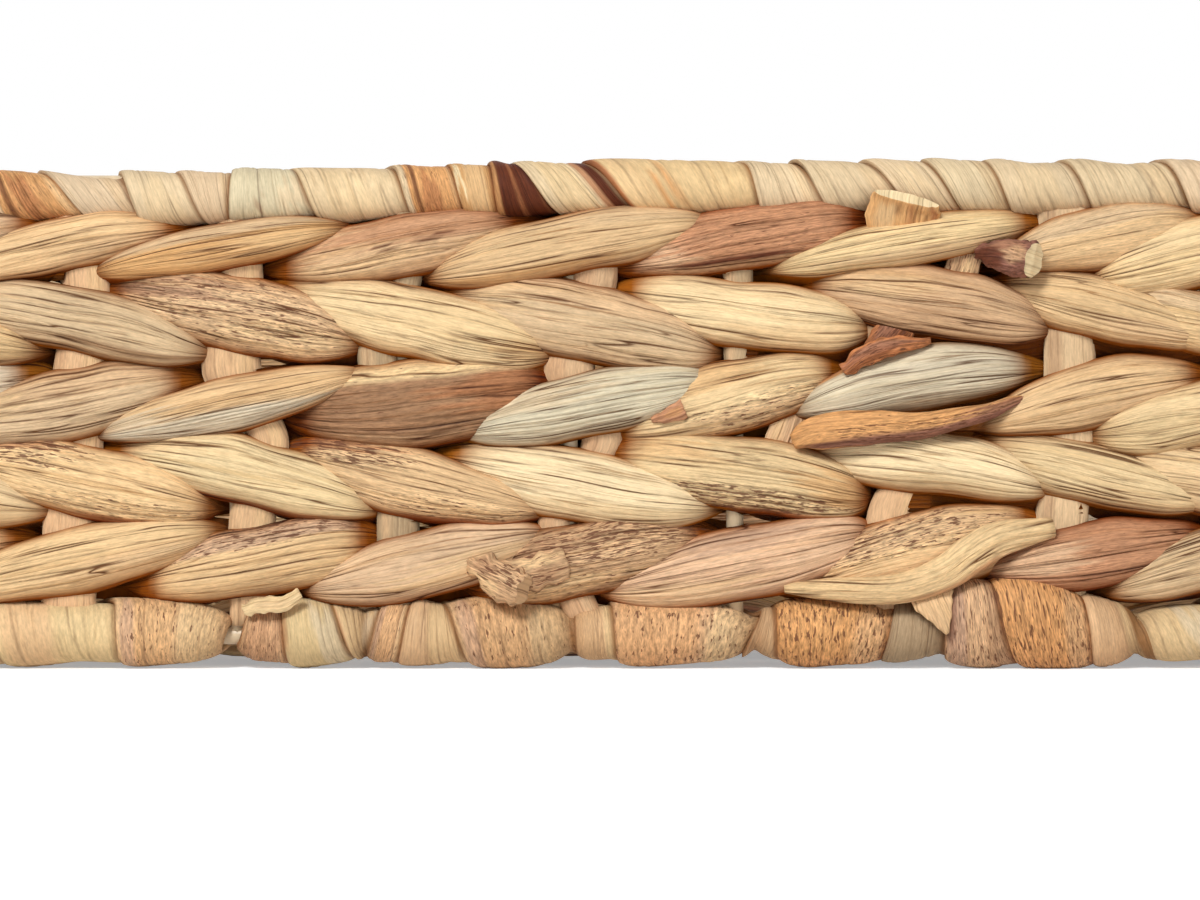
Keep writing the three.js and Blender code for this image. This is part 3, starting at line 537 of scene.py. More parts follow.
def paint(names, index, x, q, rng, blended=False):
    """Tone and speckle of each point. index says which stitch or lap a row is in, x is along it and q across
    it. A patch fades over an ellipse whose edge runs out further on some fibres than on others.
    A blended strip changes from one lap's tone to the next over the last fifth of each."""
    palette = tones()
    x, q = np.broadcast_arrays(x, q)
    base = np.array([palette[FINISHES[n][0]] for n in names])
    speckle = np.array([FINISHES[n][1] for n in names])
    jitter = 1 + rng.normal(0, 0.035, (len(names), 1)) + rng.normal(0, 0.012, (len(names), 3))
    base = base * jitter
    rows = np.empty(x.shape + (4,))
    rows[..., :3] = base[index][:, None]
    rows[..., 3] = speckle[index][:, None]
    if blended:
        for step in (1, -1):
            other = base[(index + step) % len(names)]
            rows[..., :3] += (other - base[index])[:, None] * smoothstep(0.6, 1.4, step * x)[..., None]
    frayed = rng.normal(0, 0.13, (len(names), q.shape[1]))
    for k, name in enumerate(names):
        chosen = np.flatnonzero(index == k)
        if not len(chosen):
            continue
        for tone, mid_x, mid_q, long, wide, strength in FINISHES[name][2:]:
            away_x = (x[chosen] - mid_x + frayed[k]) / long
            away_q = (q[chosen] - mid_q) / wide
            amount = strength * (1 - smoothstep(0.78, 1.16, np.hypot(away_x, away_q)))
            if blended:
                amount = amount * (1 - smoothstep(0.85, 1.0, np.abs(x[chosen])))
            if tone == "dots":
                rows[chosen, :, 3] = np.maximum(rows[chosen, :, 3], amount)
            else:
                rows[chosen, :, :3] += (palette[tone] - rows[chosen, :, :3]) * amount[..., None]
    return rows


def pick(rng, count, seen=None):
    """Finishes for count stitches, by how common each is, with the seen ones put where they belong."""
    names = list(COMMON)
    weights = np.array([COMMON[n] for n in names], float)
    chosen = [names[i] for i in rng.choice(len(names), count, p=weights / weights.sum())]
    for k, name in (seen or {}).items():
        chosen[k] = name
    return chosen


def round_columns(count):
    """Places across a strip from -1 to 1, closer together at its edges: the sine of even angles."""
    return np.sin(np.linspace(-1, 1, count) * math.radians(84)) / math.sin(math.radians(84))


def pleats(rng, stitches, columns, index, share=0.18):
    """Strength of each crease by stitch and column: a share of the columns crease, each by its own
    strength."""
    strength = rng.uniform(0.3, 1.0, (stitches, columns)) * (rng.random((stitches, columns)) < share)
    strength[:, :2] = 0
    strength[:, -2:] = 0
    return strength[index]


# The walls. A strand has this many rows of points to a space, and columns on its outer and inner faces.
ROWS_PER_SPACE = 24
OUTER_COLUMNS = 36
INNER_COLUMNS = 18
# Each strand's lines are read this many millimetres further on, so that none repeats
LEAF_LENGTH = 1300
# How much red, green and blue a strand or a lashing loses where it is in full shade
STRAND_SHADE = np.array([0.40, 0.54, 0.62])
LASHING_SHADE = np.array([0.75, 0.90, 1.0])


def stitch_face(x, first, side, twist, columns, rng, seen=None, shapes=None, lays=None):
    """One face of a twined strand: a row of spindles, two uprights apart, each hiding its ends behind its
    neighbours. The middle line of a spindle is the parabola through its two ends and its height at the
    upright. With p from -1 to 1 between the ends, its half height falls with a power of p, and its crest
    falls from the reach to behind the upright: late at an end that lies over the neighbour, and early at
    one that lies under it. The lower end lies over, but for those in lays. Across, the face is a
    flattened half ellipse, creased in columns."""
    count = STAKES // 2
    index = np.floor((x - first + 1) / 2).astype(int) % count
    local = (x - first + 1) % 2 - 1
    up = side * twist
    drawn = rng.normal(0, 1, (count, 8)).clip(-1.8, 1.8)
    half = size("stitch_height")
    # The same eight values for each stitch as in the table of the seen ones
    table = np.stack(
        [
            (-0.90 + 0.05 * drawn[:, 0]).clip(-0.97, -0.7),
            -up * 4.1 + 0.6 * drawn[:, 1],
            0.4 + 0.5 * drawn[:, 2],
            (0.91 + 0.04 * drawn[:, 3]).clip(0.7, 0.97),
            up * 4.1 + 0.6 * drawn[:, 4],
            half * (1.08 + 0.08 * drawn[:, 5]),
            np.abs(0.25 * drawn[:, 6]),
            np.abs(0.35 * drawn[:, 7]),
        ],
        1,
    )
    for k, shape in (shapes or {}).items():
        table[k] = shape
    lies_over = np.stack([table[:, 1] < table[:, 4], table[:, 1] > table[:, 4]], 1)
    for (k, end), over in (lays or {}).items():
        lies_over[k, end] = over
    left, left_z, mid_z, right, right_z, half, left_blunt, right_blunt = table[index].T
    inside = np.clip(local, left, right)
    centre = left_z * inside * (inside - right) / (left * (left - right))
    centre += mid_z * (inside - left) * (inside - right) / (left * right)
    centre += right_z * inside * (inside - left) / (right * (right - left))
    centre *= 1 - smoothstep(0.965, 1.0, np.abs(local))
    p = (inside - (left + right) / 2) / ((right - left) / 2)
    blunt = np.where(p < 0, left_blunt, right_blunt)
    end = np.abs(p).clip(0, 1)
    high = np.maximum(half * (1 - end ** (2.25 + 2.5 * blunt)) ** (0.86 - 0.36 * blunt), 0.3)
    reach = size("stitch_reach") + (0.2 * rng.normal(0, 1, count)).clip(-0.5, 0.25)[index]
    over = lies_over[index, (p > 0).astype(int)]
    crest = -1.6 + (reach + 1.6) * (1 - end ** (np.where(over, 6.5, 2.5) + 2 * blunt))
    bulge = np.minimum(3.6 * (1 - end**2.4) ** 0.8 + 0.3, high + 0.1)
    q = round_columns(columns)[None, :]
    rounded = (1 - np.abs(q) ** 2.2) ** 0.58

    def sway(shortest, longest):
        """Wandering along the strand, between two lengths in spaces."""
        return wander(x, STAKES, shortest, longest, rng)[:, None]

    crease = pleats(rng, count, columns, index, 0.12)
    crease = crease * (0.3 + 0.7 * np.abs(sway(0.8, 5)).clip(0, 1))
    room = np.clip(high / 4, 0.1, 1)[:, None]
    lean = rng.uniform(0, 6, count)[index][:, None]
    ridge = 0.20 * sway(1.0, 4) * np.sin(q * 6 + lean)
    ridge = ridge + 0.07 * np.sin(q * 11 + 2 * lean + 2 * sway(2, 6))
    drift = 0.06 * sway(1.5, 6) * (1 - q**2)
    drift = drift + 0.05 * sway(0.7, 3) * np.sin(3 * q + lean) * (1 - q**2)
    drift = drift + 0.045 * sway(0.35, 2) * np.maximum(q, 0) ** 2
    drift = drift - 0.045 * sway(0.35, 2) * np.maximum(-q, 0) ** 2
    relief = (ridge - 0.22 * crease) * room * (1 - q**4)
    n = side * (crest[:, None] - bulge[:, None] * (1 - rounded) + relief)
    z = centre[:, None] + high[:, None] * (q + drift)
    tone = paint(pick(rng, count, seen), index, p[:, None], q, rng)
    # Painted shade, multiplied into the tone: darker at both edges and more towards the lower one as if lit
    # from above, darker at the ends and most where they pass under a neighbour, and darker where the face
    # lies deep in the wall.
    edge = np.abs(q) ** 9 * np.where(q < 0, 1.3, 0.8) + 0.30 * smoothstep(0.35, 1.0, -q)
    tucked = np.maximum(edge, (smoothstep(0.60, 0.96, end) * np.where(over, 0.4, 1.35))[:, None])
    painted_hollow_shade = smoothstep(4.1, 1.0, side * n)
    dark = np.minimum(tucked + 1.1 * painted_hollow_shade, 1.6)
    tone[..., :3] *= 1 - STRAND_SHADE * dark[..., None]
    return n, z, tone, crease, index


def twined_strand(course, letter, material):
    """A strand of one course right round the tray: an outer and an inner face, joined along their edges."""
    parity = "ab".index(letter)
    rng = np.random.default_rng(COURSE_SEED * course + parity)
    twist = 1 if course % 2 == 1 else -1
    x = np.arange(STAKES * ROWS_PER_SPACE) / ROWS_PER_SPACE
    seen, shapes, lays = {}, {}, {}
    for k, (finish, *shape) in enumerate(SEEN_STITCHES[course], FIRST_SEEN):
        if k % 2 == parity:
            seen[(k - parity) // 2], shapes[(k - parity) // 2] = finish, shape
    for c, k in HIGH_ENDS_OVER:
        if c == course:
            end = int(k % 2 == parity)
            lays[((k + 1 - end - parity) // 2, end)] = bool(end)
    outer = stitch_face(x, parity, 1, twist, OUTER_COLUMNS, rng, seen, shapes, lays)
    inner = stitch_face(x, 1 - parity, -1, twist, INNER_COLUMNS, rng)
    n, z, crease = (faced(outer[k], inner[k]) for k in (0, 1, 3))
    tone = np.concatenate([outer[2], inner[2][:, ::-1]], 1)
    points = wall_place(x[:, None], n, z + COURSE_HEIGHTS[course - 1])
    outer_place, inner_place = (
        (round_columns(columns) + 1) * PATTERN_HALF for columns in (OUTER_COLUMNS, INNER_COLUMNS)
    )
    across = faced(outer_place, inner_place + INNER_SHIFT)
    stitch = np.repeat([outer[4], inner[4] + 0.5], [OUTER_COLUMNS, INNER_COLUMNS], 0).T
    name = f"wall_course_{course}_strand_{letter}"
    own_leaf = LEAF_LENGTH * (2 * course + parity)
    body = tube(points, x * LONG_PITCH + own_leaf, across + STITCH_SHIFT * stitch, tone, crease, ring=True)
    make_piece(f"leaf_{name}", [body], material, [name])


# The lashings. A strip has this many rows of points to a turn.
TURN_ROWS = 30
# The parts of a turn at which its outer side starts and ends
OUTER_SIDE = np.array([0.27, 0.73])
# Seed and height of each rim's lashing, and its strip's thickness and bulge. The top one hangs a little under
# its rail's middle, and the bottom one lies a little over it.
LASHINGS = {
    "top": (600, TOP_RIM_HEIGHT - 0.35, 0.6, 0.45),
    "bottom": (700, BOTTOM_RIM_HEIGHT + 0.45, 0.65, 0.7),
}
# Columns over the strip and under it, and the millimetres that it laps over the turn before
LAP_COLUMNS = 27
UNDER_COLUMNS = 4
OVERLAP = 2.0


def wound_strip(
    route, height, plan, thickness, radius, bulge, rng, gaps=None, dip=None, pinches=None, swollen=None
):
    """One strip wound round a rail, each turn lapping over the one before. Turn by turn, the plan gives
    where its edge is on the outer side in millimetres, how far it leans over the front half of the turn,
    its finish and how much fuller it is. The angle grows steadily. The radius is largest at the exposed
    edge, falls where the strip no longer lies on the turn before, and swells between its edges. Where
    gaps is 1 the turn stops short of the next, and the wire shows.
    A dip is its middle, depth and half length: the rail sinks there by the depth times e to the minus
    square of the distance over the half length. A pinch is its place and depth: the strip draws in there
    by the depth times e to the minus distance over 2.8 mm. A swollen stretch is its middle, height and
    half length: the strip bulges there towards 60 degrees up, fading away from it."""
    edges, leans, names, fuller = plan
    steps = TURN_ROWS
    turns = len(edges) - 1
    t = np.arange(turns * steps + 1) / steps
    marks = np.arange(turns + 1)[:, None] + OUTER_SIDE
    stops = np.stack([edges - leans / 2, edges + leans / 2], -1)
    kernel = np.hanning(9)[1:-1]
    kernel = kernel / kernel.sum()
    wide = np.interp(np.arange(-steps, (turns + 2) * steps + 1) / steps, marks.ravel(), stops.ravel())
    wide = np.convolve(wide, kernel, mode="same")
    edge = wide[steps : steps + len(t)]
    after = wide[2 * steps : 2 * steps + len(t)]
    width = np.maximum(after - edge, 0.5)
    lap = np.minimum(np.floor(t).astype(int), turns - 1)
    turned = (t - lap) * 2 - 1
    angle = turned * math.pi
    gap = np.zeros(turns) if gaps is None else gaps
    reach = width + OVERLAP - gap[lap] * (np.abs(turned) < 0.75) * (OVERLAP + 2.2)
    w = np.linspace(0, 1, LAP_COLUMNS) ** 1.15
    rough = wander(t, turns, 0.6, 4, rng)[:, None]
    lift = 1 - smoothstep(0.0, 0.55, w)
    swell = np.sin(math.pi * w) ** 0.6
    scale = (1 + 0.25 * rng.normal(0, 1, turns).clip(-1.5, 1.5))[lap][:, None]
    pinched, pinched_all = 0.0, np.zeros((1, 1))
    if pinches is not None:
        away = np.abs((edge[:, None] + w[None, :] * reach[:, None])[..., None] - pinches[:, 0])
        pinched = (pinches[:, 1] * np.exp(-away / 2.8)).sum(-1)
        pinched_all = np.concatenate([pinched, np.repeat(pinched[:, -1:], UNDER_COLUMNS, 1)], 1)
    outer = radius - bulge + thickness * (lift - 1) * 1.2
    outer = outer + (bulge * scale + fuller[lap][:, None]) * swell - pinched
    outer = outer + 0.12 * rough + 0.10 * wander(t, turns, 0.3, 1.5, rng)[:, None] * np.sin(w * 9)
    crease = pleats(rng, turns, LAP_COLUMNS, lap)
    outer = outer - 0.14 * crease * (w > 0.08)
    w_under = np.linspace(1, 0, UNDER_COLUMNS)
    inner = np.repeat(outer.min(1, keepdims=True) - thickness * 0.8, UNDER_COLUMNS, 1)
    inner = np.minimum(inner + thickness * (1 - w_under) * 0.8, outer[:, [-1]] - 0.15)
    inner[:, -1] = outer[:, 0] - thickness
    radial = np.concatenate([outer, inner], 1)
    w_all = np.concatenate([w, w_under])
    s = edge[:, None] + w_all * reach[:, None]
    if swollen:
        facing = np.maximum(0.5 * np.cos(angle) - 0.866 * np.sin(angle), 0)[:, None]
        radial = radial + swollen[1] * facing**3 * np.exp(-(((s - swollen[0]) / swollen[2]) ** 4))
    n = radial * np.cos(angle)[:, None]
    z = height - radial * np.sin(angle)[:, None]
    s = np.clip(s, edges[0] - 1.0, edges[-1])
    if dip:
        z = z - dip[1] * np.exp(-(((s - dip[0]) / dip[2]) ** 2))
    z = np.maximum(z, 0.03)
    points = route(s, n, z)
    tone = paint(names, lap, turned[:, None], w_all * 2 - 1, rng, blended=True)
    # Painted shade, multiplied into the tone: darker towards and under the next lap's edge, along the strip's
    # edge that lies over the turn before, and where it draws in at a pinch.
    covered = (width / reach)[:, None]
    shaded = 0.85 * smoothstep(-1.3, -0.05, (w_all - covered) * reach[:, None]) ** 2
    shaded = shaded + 0.45 * (1 - smoothstep(0.0, 0.35, w_all * reach[:, None]))
    shaded = shaded + 0.45 * (pinched_all / 2).clip(0, 1)
    tone[..., :3] *= 1 - LASHING_SHADE * shaded[..., None].clip(0, 0.8)
    u = t * 2 * math.pi * radius
    v = w_all[None, :] * np.mean(width) + 0 * n + 30
    crease = np.concatenate([crease, np.zeros((len(t), UNDER_COLUMNS))], 1)
    return tube(points, u, v, tone, crease)


RIM_COMMON = ["rim plain"] * 6 + ["rim smooth"] * 5 + ["rim warm"] * 4 + ["rim green"] * 2
RIM_COMMON += ["rim streaks"] * 2 + ["rim orange", "rim stripes"]
FOOT_COMMON = ["foot cream", "foot tan", "foot smooth", "foot lined"] * 4 + ["foot orange", "foot amber"] * 2
FOOT_COMMON += ["foot green", "foot speckled", "foot khaki", "foot purple", "foot purple"]

# The photographed laps of the front: where each lap's edge crosses the rail's middle and how far it leans
# between the top and the bottom of the rail, in millimetres from the tray's middle, its finish, and how
# many millimetres it stands out more than usual
SEEN_TOP_LAPS = [
    (-28.0, 4.0, "rim smooth", 0.0),
    (-18.9, 5.0, "rim plain", 0.1),
    (-13.3, -0.5, "rim green", 0.25),
    (-1.9, 4.4, "rim smooth", 0.1),
    (12.4, 3.2, "rim orange", 0.0),
    (20.5, 3.0, "rim amber", 0.0),
    (25.9, 1.6, "rim chocolate", 0.0),
    (32.2, 7.6, "rim stripes", 0.15),
    (43.6, 8.8, "rim streaks", 0.3),
    (64.5, 2.8, "rim plain", -0.1),
    (73.3, 5.8, "rim plain", -0.1),
    (84.8, 8.0, "rim smooth", 0.1),
    (92.8, 6.6, "rim plain", 0.0),
    (101.0, 4.6, "rim smooth", 0.2),
    (113.0, 5.0, "rim plain", 0.0),
]
SEEN_FOOT_LAPS = [
    (-30.0, 1.0, "foot lined", 0.2),
    (-11.6, -2.4, "foot wedge", 0.2),
    (-5.2, 1.2, "foot green", 0.2),
    (3.4, 4.4, "foot green", 0.0),
    (8.0, -3.0, "foot lined", 0.0),
    (12.6, -2.6, "foot smooth", 0.3),
    (20.4, 4.0, "foot lined", 0.2),
    (37.9, 0.5, "foot tan", -0.4),
    (43.8, 1.0, "foot amber", 0.2),
    (64.2, -3.6, "foot pale wedge", -0.3),
    (67.8, 0.3, "foot speckled", 0.4),
    (84.4, -2.6, "foot khaki", -0.6),
    (92.6, 0.4, "foot purple", 0.7),
    (101.3, 5.0, "foot speckled", 0.7),
    (114.0, 2.0, "foot tan", 0.2),
]
# Where the seen bottom lashing draws in, and how deep
SEEN_PINCHES = np.array(
    [(-12.4, 2.6), (6.6, 1.7), (19.4, 0.7), (37.3, 2.3), (64.6, 2.6), (83.8, 0.6), (92.0, 1.3), (102.0, 0.3)]
)
# Widths of the laps that the photograph doesn't show
NARROWEST_LAP = 9.0
WIDEST_LAP = 21.0


def lap_plan(length, widest, rng, common, seen=None, origin=0.0):
    """Edges, leans, finishes and fullness of the laps along a rail. Widths are random between two limits,
    and the seen laps take the place of the random ones where they lie."""
    shortest = NARROWEST_LAP
    widths = rng.uniform(shortest, widest, int(length / shortest) + 4)
    edges = np.concatenate([[0.0], np.cumsum(widths)])
    leans = rng.uniform(0.2, 0.6, len(edges)) * (shortest + widest) / 2
    names = [common[i] for i in rng.integers(0, len(common), len(edges))]
    fuller = rng.normal(0, 0.25, len(edges)).clip(-0.6, 0.5)
    rows = list(zip(edges, leans, names, fuller))
    if seen:
        low, high = seen[0][0] - origin, seen[-1][0] - origin
        rows = [r for r in rows if r[0] < low - shortest * 0.7 or r[0] > high + shortest * 0.7]
        rows = sorted(rows + [(edge - origin, *rest) for edge, *rest in seen])
    rows = [r for r in rows if r[0] < length - shortest * 0.5] + [(length, 0.0, common[0], 0.0)]
    edges, leans, names, fuller = zip(*rows)
    return np.array(edges), np.array(leans), list(names[:-1]), np.array(fuller[:-1])


def rim_lashings(which, material):
    """The lashings of one rail, a wound strip for each side of the tray."""
    top = which == "top"
    seed, height, thick, bulge = LASHINGS[which]
    radius = size(f"{which}_lashing") / 2
    for k, (side, first, last) in enumerate(SIDES):
        rng = np.random.default_rng(seed + k)
        pitch = LONG_PITCH if side in ("front", "back") else SHORT_PITCH
        length = (last - first) * pitch
        middle = length / 2
        seen = (SEEN_TOP_LAPS if top else SEEN_FOOT_LAPS) if side == "front" else None
        plan = lap_plan(length, WIDEST_LAP, rng, RIM_COMMON if top else FOOT_COMMON, seen, -middle)
        if top:
            extras = {"dip": (middle - 25.0, 1.7, 45.0) if seen else (length * 0.4, 0.6, 50.0)}
        else:
            edges = plan[0]
            where = edges[1:-1][rng.random(len(edges) - 2) < 0.45]
            extras = {"pinches": np.stack([where, rng.uniform(0.8, 2.5, len(where))], 1)}
        if seen and not top:
            gaps = np.zeros(len(edges) - 1)
            gaps[np.argmin(np.abs(edges[:-1] - (seen[0][0] + middle)))] = 1.0
            outside = np.abs(where - middle - 42.0) > 72
            pinches = [extras["pinches"][outside], SEEN_PINCHES + np.array([middle, 0.0])]
            extras = {
                "gaps": gaps,
                "pinches": np.concatenate(pinches),
                "swollen": (middle + 101.5, 3.4, 10.0),
            }
        route = side_route(first, pitch)
        body = wound_strip(route, height, plan, thick, radius, bulge, rng, **extras)
        name = f"{which}_rim_lashing_{side}"
        make_piece(f"leaf_{name}", [body], material, [name])


# Base and dividers. A base strip has this many rows of points to a space, its tone changes after this many
# millimetres, and it has this half thickness.
SPACE_ROWS = 12
BASE_STITCH = 48
BASE_HALF_THICK = 1.05
# A divider's strand swings this far to each side and has this half thickness, and its first upright
# stands this far from its end.
DIVIDER_SWING = 3.0
DIVIDER_HALF_THICK = 1.4
DIVIDER_INSET = 6.0


def flat_strip(
    route, s, n_middle, z_middle, half_width, half_thick, columns, names, stitch, rng, upright=False
):
    """A flat folded leaf along a route. Its two faces bow out by a flattened half ellipse and are creased.
    An upright strip is wide in height, and any other is wide across the route. Every stitch, of the
    given length, has the next of the named finishes."""
    index = np.floor(s / stitch).astype(int)
    local = (s % stitch) / (stitch / 2) - 1
    q = round_columns(columns)[None, :]
    rounded = (1 - np.abs(q) ** 3) ** 0.5
    faces = []
    for side in (1, -1):
        crease = pleats(rng, len(names), columns, index)
        crease = crease * (0.4 + 0.6 * np.abs(wander(s, s[-1] - s[0] + 1, 15, 60, rng))[:, None].clip(0, 1))
        thick = half_thick * rounded - 0.28 * crease * (1 - q**4)
        faces.append((side * thick, crease))
    width = half_width * (1 + 0.03 * wander(s, s[-1] - s[0] + 1, 20, 80, rng))[:, None]
    across = faced(width * q, width * q)
    off, crease = (faced(a, b) for a, b in zip(*faces))
    if upright:
        n, z = n_middle[:, None] + off, z_middle[:, None] + across
    else:
        n, z = n_middle[:, None] + across, z_middle[:, None] + off
    points = route(s[:, None] + 0 * n, n, z)
    both = faced(q[0], q[0])
    tone = paint(names, index, local[:, None], both, rng, blended=True)
    v = (both * PATTERN_HALF + np.repeat([0, INNER_SHIFT], columns))[None, :] + 0 * n + rng.uniform(0, 400)
    return tube(points, s, v, tone, crease)


def base_strip(number, material):
    """A base strip woven over and under the cross wires: its height swings as a cosine between them."""
    name = f"base_strip_{number:02d}"
    low, high = node_box(name)
    rng = np.random.default_rng(BASE_SEED + number)
    s = np.linspace(0, high[0] - low[0], SPACE_ROWS * LONG_SPACES + 1)
    x = low[0] + s
    side = 1 if number % 2 == 1 else -1
    swing = np.cos(math.pi * (x / LONG_PITCH - 0.5)) * side
    last_wire = (CROSS_WIRES - 1) / 2 * LONG_PITCH
    fade = 1 - smoothstep(last_wire, last_wire + 20, np.abs(x))
    bow = (high[2] - low[2]) / 2 - 1.2
    heights = (low[2] + high[2]) / 2 + bow * swing * fade
    names = pick(rng, int(s[-1] / BASE_STITCH) + 1)
    middle = (low[1] + high[1]) / 2
    route = straight_route((low[0], middle), (high[0], middle))
    sway = 0.25 * wander(s, s[-1] + 1, 30, 90, rng)
    half = (high[1] - low[1]) / 2
    body = flat_strip(route, s, sway, heights, half, BASE_HALF_THICK, 13, names, BASE_STITCH, rng)
    make_piece(f"leaf_{name}", [body], material, [name])


def divider(name, marks, materials):
    """A divider's strands, woven past its uprights so that each swings from one side to the other as a
    cosine, its wound rim and its comb of wire."""
    low, high = node_box(f"{name}_rim_lashing")
    axis = 1 if name == "cross_divider" else 0
    ends = np.array([(low + high)[:2] / 2] * 2)
    ends[:, axis] = low[axis], high[axis]
    route = straight_route(*ends)
    length = high[axis] - low[axis]
    inset = DIVIDER_INSET
    pitch = (length - 2 * inset) / (marks - 1)
    seed = DIVIDER_SEED + 20 * len(name) + ord(name[-1]) % 10
    for i, slot in enumerate(("leaf_straw", "leaf_tan", "leaf_cream", "leaf_sage")):
        node = f"{name}_strand_{i + 1}"
        box_low, box_high = node_box(node)
        rng = np.random.default_rng(seed + i)
        s = np.linspace(0, length, (marks + 1) * 14 + 1)
        side = 1 if i % 2 == 0 else -1
        swing = np.cos(math.pi * (np.clip(s, inset, length - inset) - inset) / pitch)
        heights = (box_low[2] + box_high[2]) / 2 + 0.15 * wander(s, length + 1, 30, 90, rng)
        names = pick(rng, int(length / (2 * pitch)) + 1)
        half = (box_high[2] - box_low[2]) / 2 + 0.1
        swing = DIVIDER_SWING * side * swing
        thick = DIVIDER_HALF_THICK
        body = flat_strip(route, s, swing, heights, half, thick, 17, names, 2 * pitch, rng, upright=True)
        make_piece(f"leaf_{node}", [body], materials["leaf"], [node])
    rng = np.random.default_rng(seed + 9)
    edges, leans, laps, fuller = lap_plan(length, 15.0, rng, RIM_COMMON)
    rail = (low[2] + high[2]) / 2
    plan = edges, leans, laps, 0 * fuller
    wound = wound_strip(route, rail, plan, 0.55, size("top_lashing") / 2 - 0.2, 0.5, rng)
    make_piece(f"leaf_{name}_rim", [wound], materials["leaf"], [f"{name}_rim_lashing"])
    foot = node_box(f"{name}_comb")[0][2]
    bars = [round_wire(route(np.linspace(0, length, 30), 0.0, rail), size("rail_wire") / 2)]
    for k in range(marks):
        place = np.full(2, inset + k * pitch)
        bars.append(round_wire(route(place, 0.0, np.array([foot, rail])), size("stake_wire") / 2))
    make_piece(f"wire_{name}_comb", bars, materials["wire"], [f"{name}_comb"])


# The wire. It has this many sides, and a rail has this many rows of points to a space.
WIRE_SIDES = 14
RAIL_ROWS = 8


def round_wire(path, radius, ring=False):
    """A round wire along a path: circles square to the path, set by two directions across it."""
    sides = WIRE_SIDES
    path = np.asarray(path, float)
    if ring:
        along = np.roll(path, -1, 0) - np.roll(path, 1, 0)
    else:
        along = np.gradient(path, axis=0)
    along = unit(along)
    upward = np.array([0.0, 0.0, 1.0]) if abs(along[0, 2]) < 0.9 else np.array([1.0, 0.0, 0.0])
    right = unit(np.cross(along, upward))
    up = np.cross(right, along)
    angle = np.linspace(0, 2 * math.pi, sides, endpoint=False)[None, :, None]
    points = path[:, None] + radius * (np.cos(angle) * right[:, None] + np.sin(angle) * up[:, None])
    v = np.broadcast_to(np.arange(sides) * 2 * math.pi * radius / sides, points.shape[:2])
    tone = np.ones(points.shape[:2] + (4,))
    tone[..., :3] = tones()["coating"]
    return tube(points, lengths_along(path), v, tone, np.zeros(points.shape[:2]), ring)


# Loose leaf: the sheaths of the uprights, and cut, torn and tucked ends


def smooth_path(points, count):
    """A curve through the points: on each span the cubic with half the difference of its neighbours as
    slope."""
    points = np.array(points, float)
    slopes = np.gradient(points, axis=0)
    t = np.linspace(0, len(points) - 1, count)
    i = np.minimum(t.astype(int), len(points) - 2)
    f = (t - i)[:, None]
    first, last = points[i], points[i + 1]
    rise = (2 * f**3 - 3 * f**2 + 1) * first + (3 * f**2 - 2 * f**3) * last
    return rise + (f**3 - 2 * f**2 + f) * slopes[i] + (f**3 - f**2) * slopes[i + 1]


def sharp_folds(rows, columns, least, most, rng):
    """The depth of the folds on both faces of a flat leaf: every third column is folded."""
    crease = np.zeros((rows, columns))
    crease[:, 3:-3:3] = rng.uniform(least, most, (1, len(range(3, columns - 3, 3))))
    return faced(crease, crease)


def front_route(s, n, z):
    """Millimetres along the front from the tray's middle, outward from the wall's middle, and up."""
    s, n, z = np.broadcast_arrays(s, n, z)
    return np.stack([s, -HALF_WIDTH - n, z], -1)


def leaf_tongue(points, widths, thick, finish, rng, ragged=0.0, cut_end=None):
    """A flat tongue of leaf on the front wall along points of (along, out, up), with its half width at each.
    Across it lies in the wall's plane, square to its line, and it is a flattened half ellipse thick.
    A ragged tongue's edge wanders, and a cut end shows a face of the given tone."""
    rows, columns = 34, 17
    path = smooth_path(points, rows)
    width = smooth_path(np.array(widths, float)[:, None], rows)[:, 0].clip(0.1)
    along = unit(np.gradient(path, axis=0))
    across = unit(np.stack([-along[:, 2], 0 * along[:, 0], along[:, 0]], -1))
    out = np.cross(across, along)
    out *= np.where(out[:, [1]] < 0, -1, 1)
    q = round_columns(columns)
    rounded = (1 - np.abs(q) ** 2.4) ** 0.55
    crease = sharp_folds(rows, columns, 0.1, 0.7, rng)
    rough = ragged * wander(np.arange(rows * 1.0), rows, 6, 30, rng)
    rough = rough + 0.4 * ragged * np.convolve(rng.normal(0, 1, rows), [0.3, 0.4, 0.3], mode="same")
    side, face = faced(q, q), faced(rounded, -rounded)
    thickness = thick * np.minimum(1, width / thick)[:, None]
    off = thickness * face - 0.22 * crease * np.sign(face) * (np.abs(face) > 0.5)
    reach = width[:, None] * side + rough[:, None] * np.abs(side) ** 3
    local = path[:, None] + across[:, None] * reach[..., None] + out[:, None] * off[..., None]
    if ragged:
        jag = rng.normal(0, ragged * 0.5, columns)
        jag = np.convolve(np.pad(jag, 2, mode="wrap"), np.ones(3) / 3, mode="same")[2:-2] * 1.7
        jag = faced(jag, jag)
        fade = np.linspace(1, -1, rows)[:, None]
        for end in (1, -1):
            local = local + along[:, None] * (jag * np.maximum(end * fade - 0.7, 0) * 3)[..., None]
    spots = front_route(local[..., 0], local[..., 1], local[..., 2])
    tone = paint([finish], np.zeros(rows, int), np.linspace(-1, 1, rows)[:, None], side, rng)
    length = lengths_along(path)
    v = side * width[:, None] + rng.uniform(0, 300)
    if cut_end:
        cap = spots[[-1]] * 0.999 + spots[[-1]].mean(1, keepdims=True) * 0.001
        shade = tone[[-1]].copy()
        shade[..., :3], shade[..., 3] = tones()[cut_end], 0.0
        spots = np.concatenate([spots, cap])
        tone = np.concatenate([tone, shade])
        crease = np.concatenate([crease, 0 * crease[:1]])
        length = np.append(length, length[-1] + 0.02)
        v = np.concatenate([v, v[-1:]])
    return tube(spots, length, v, tone, crease)


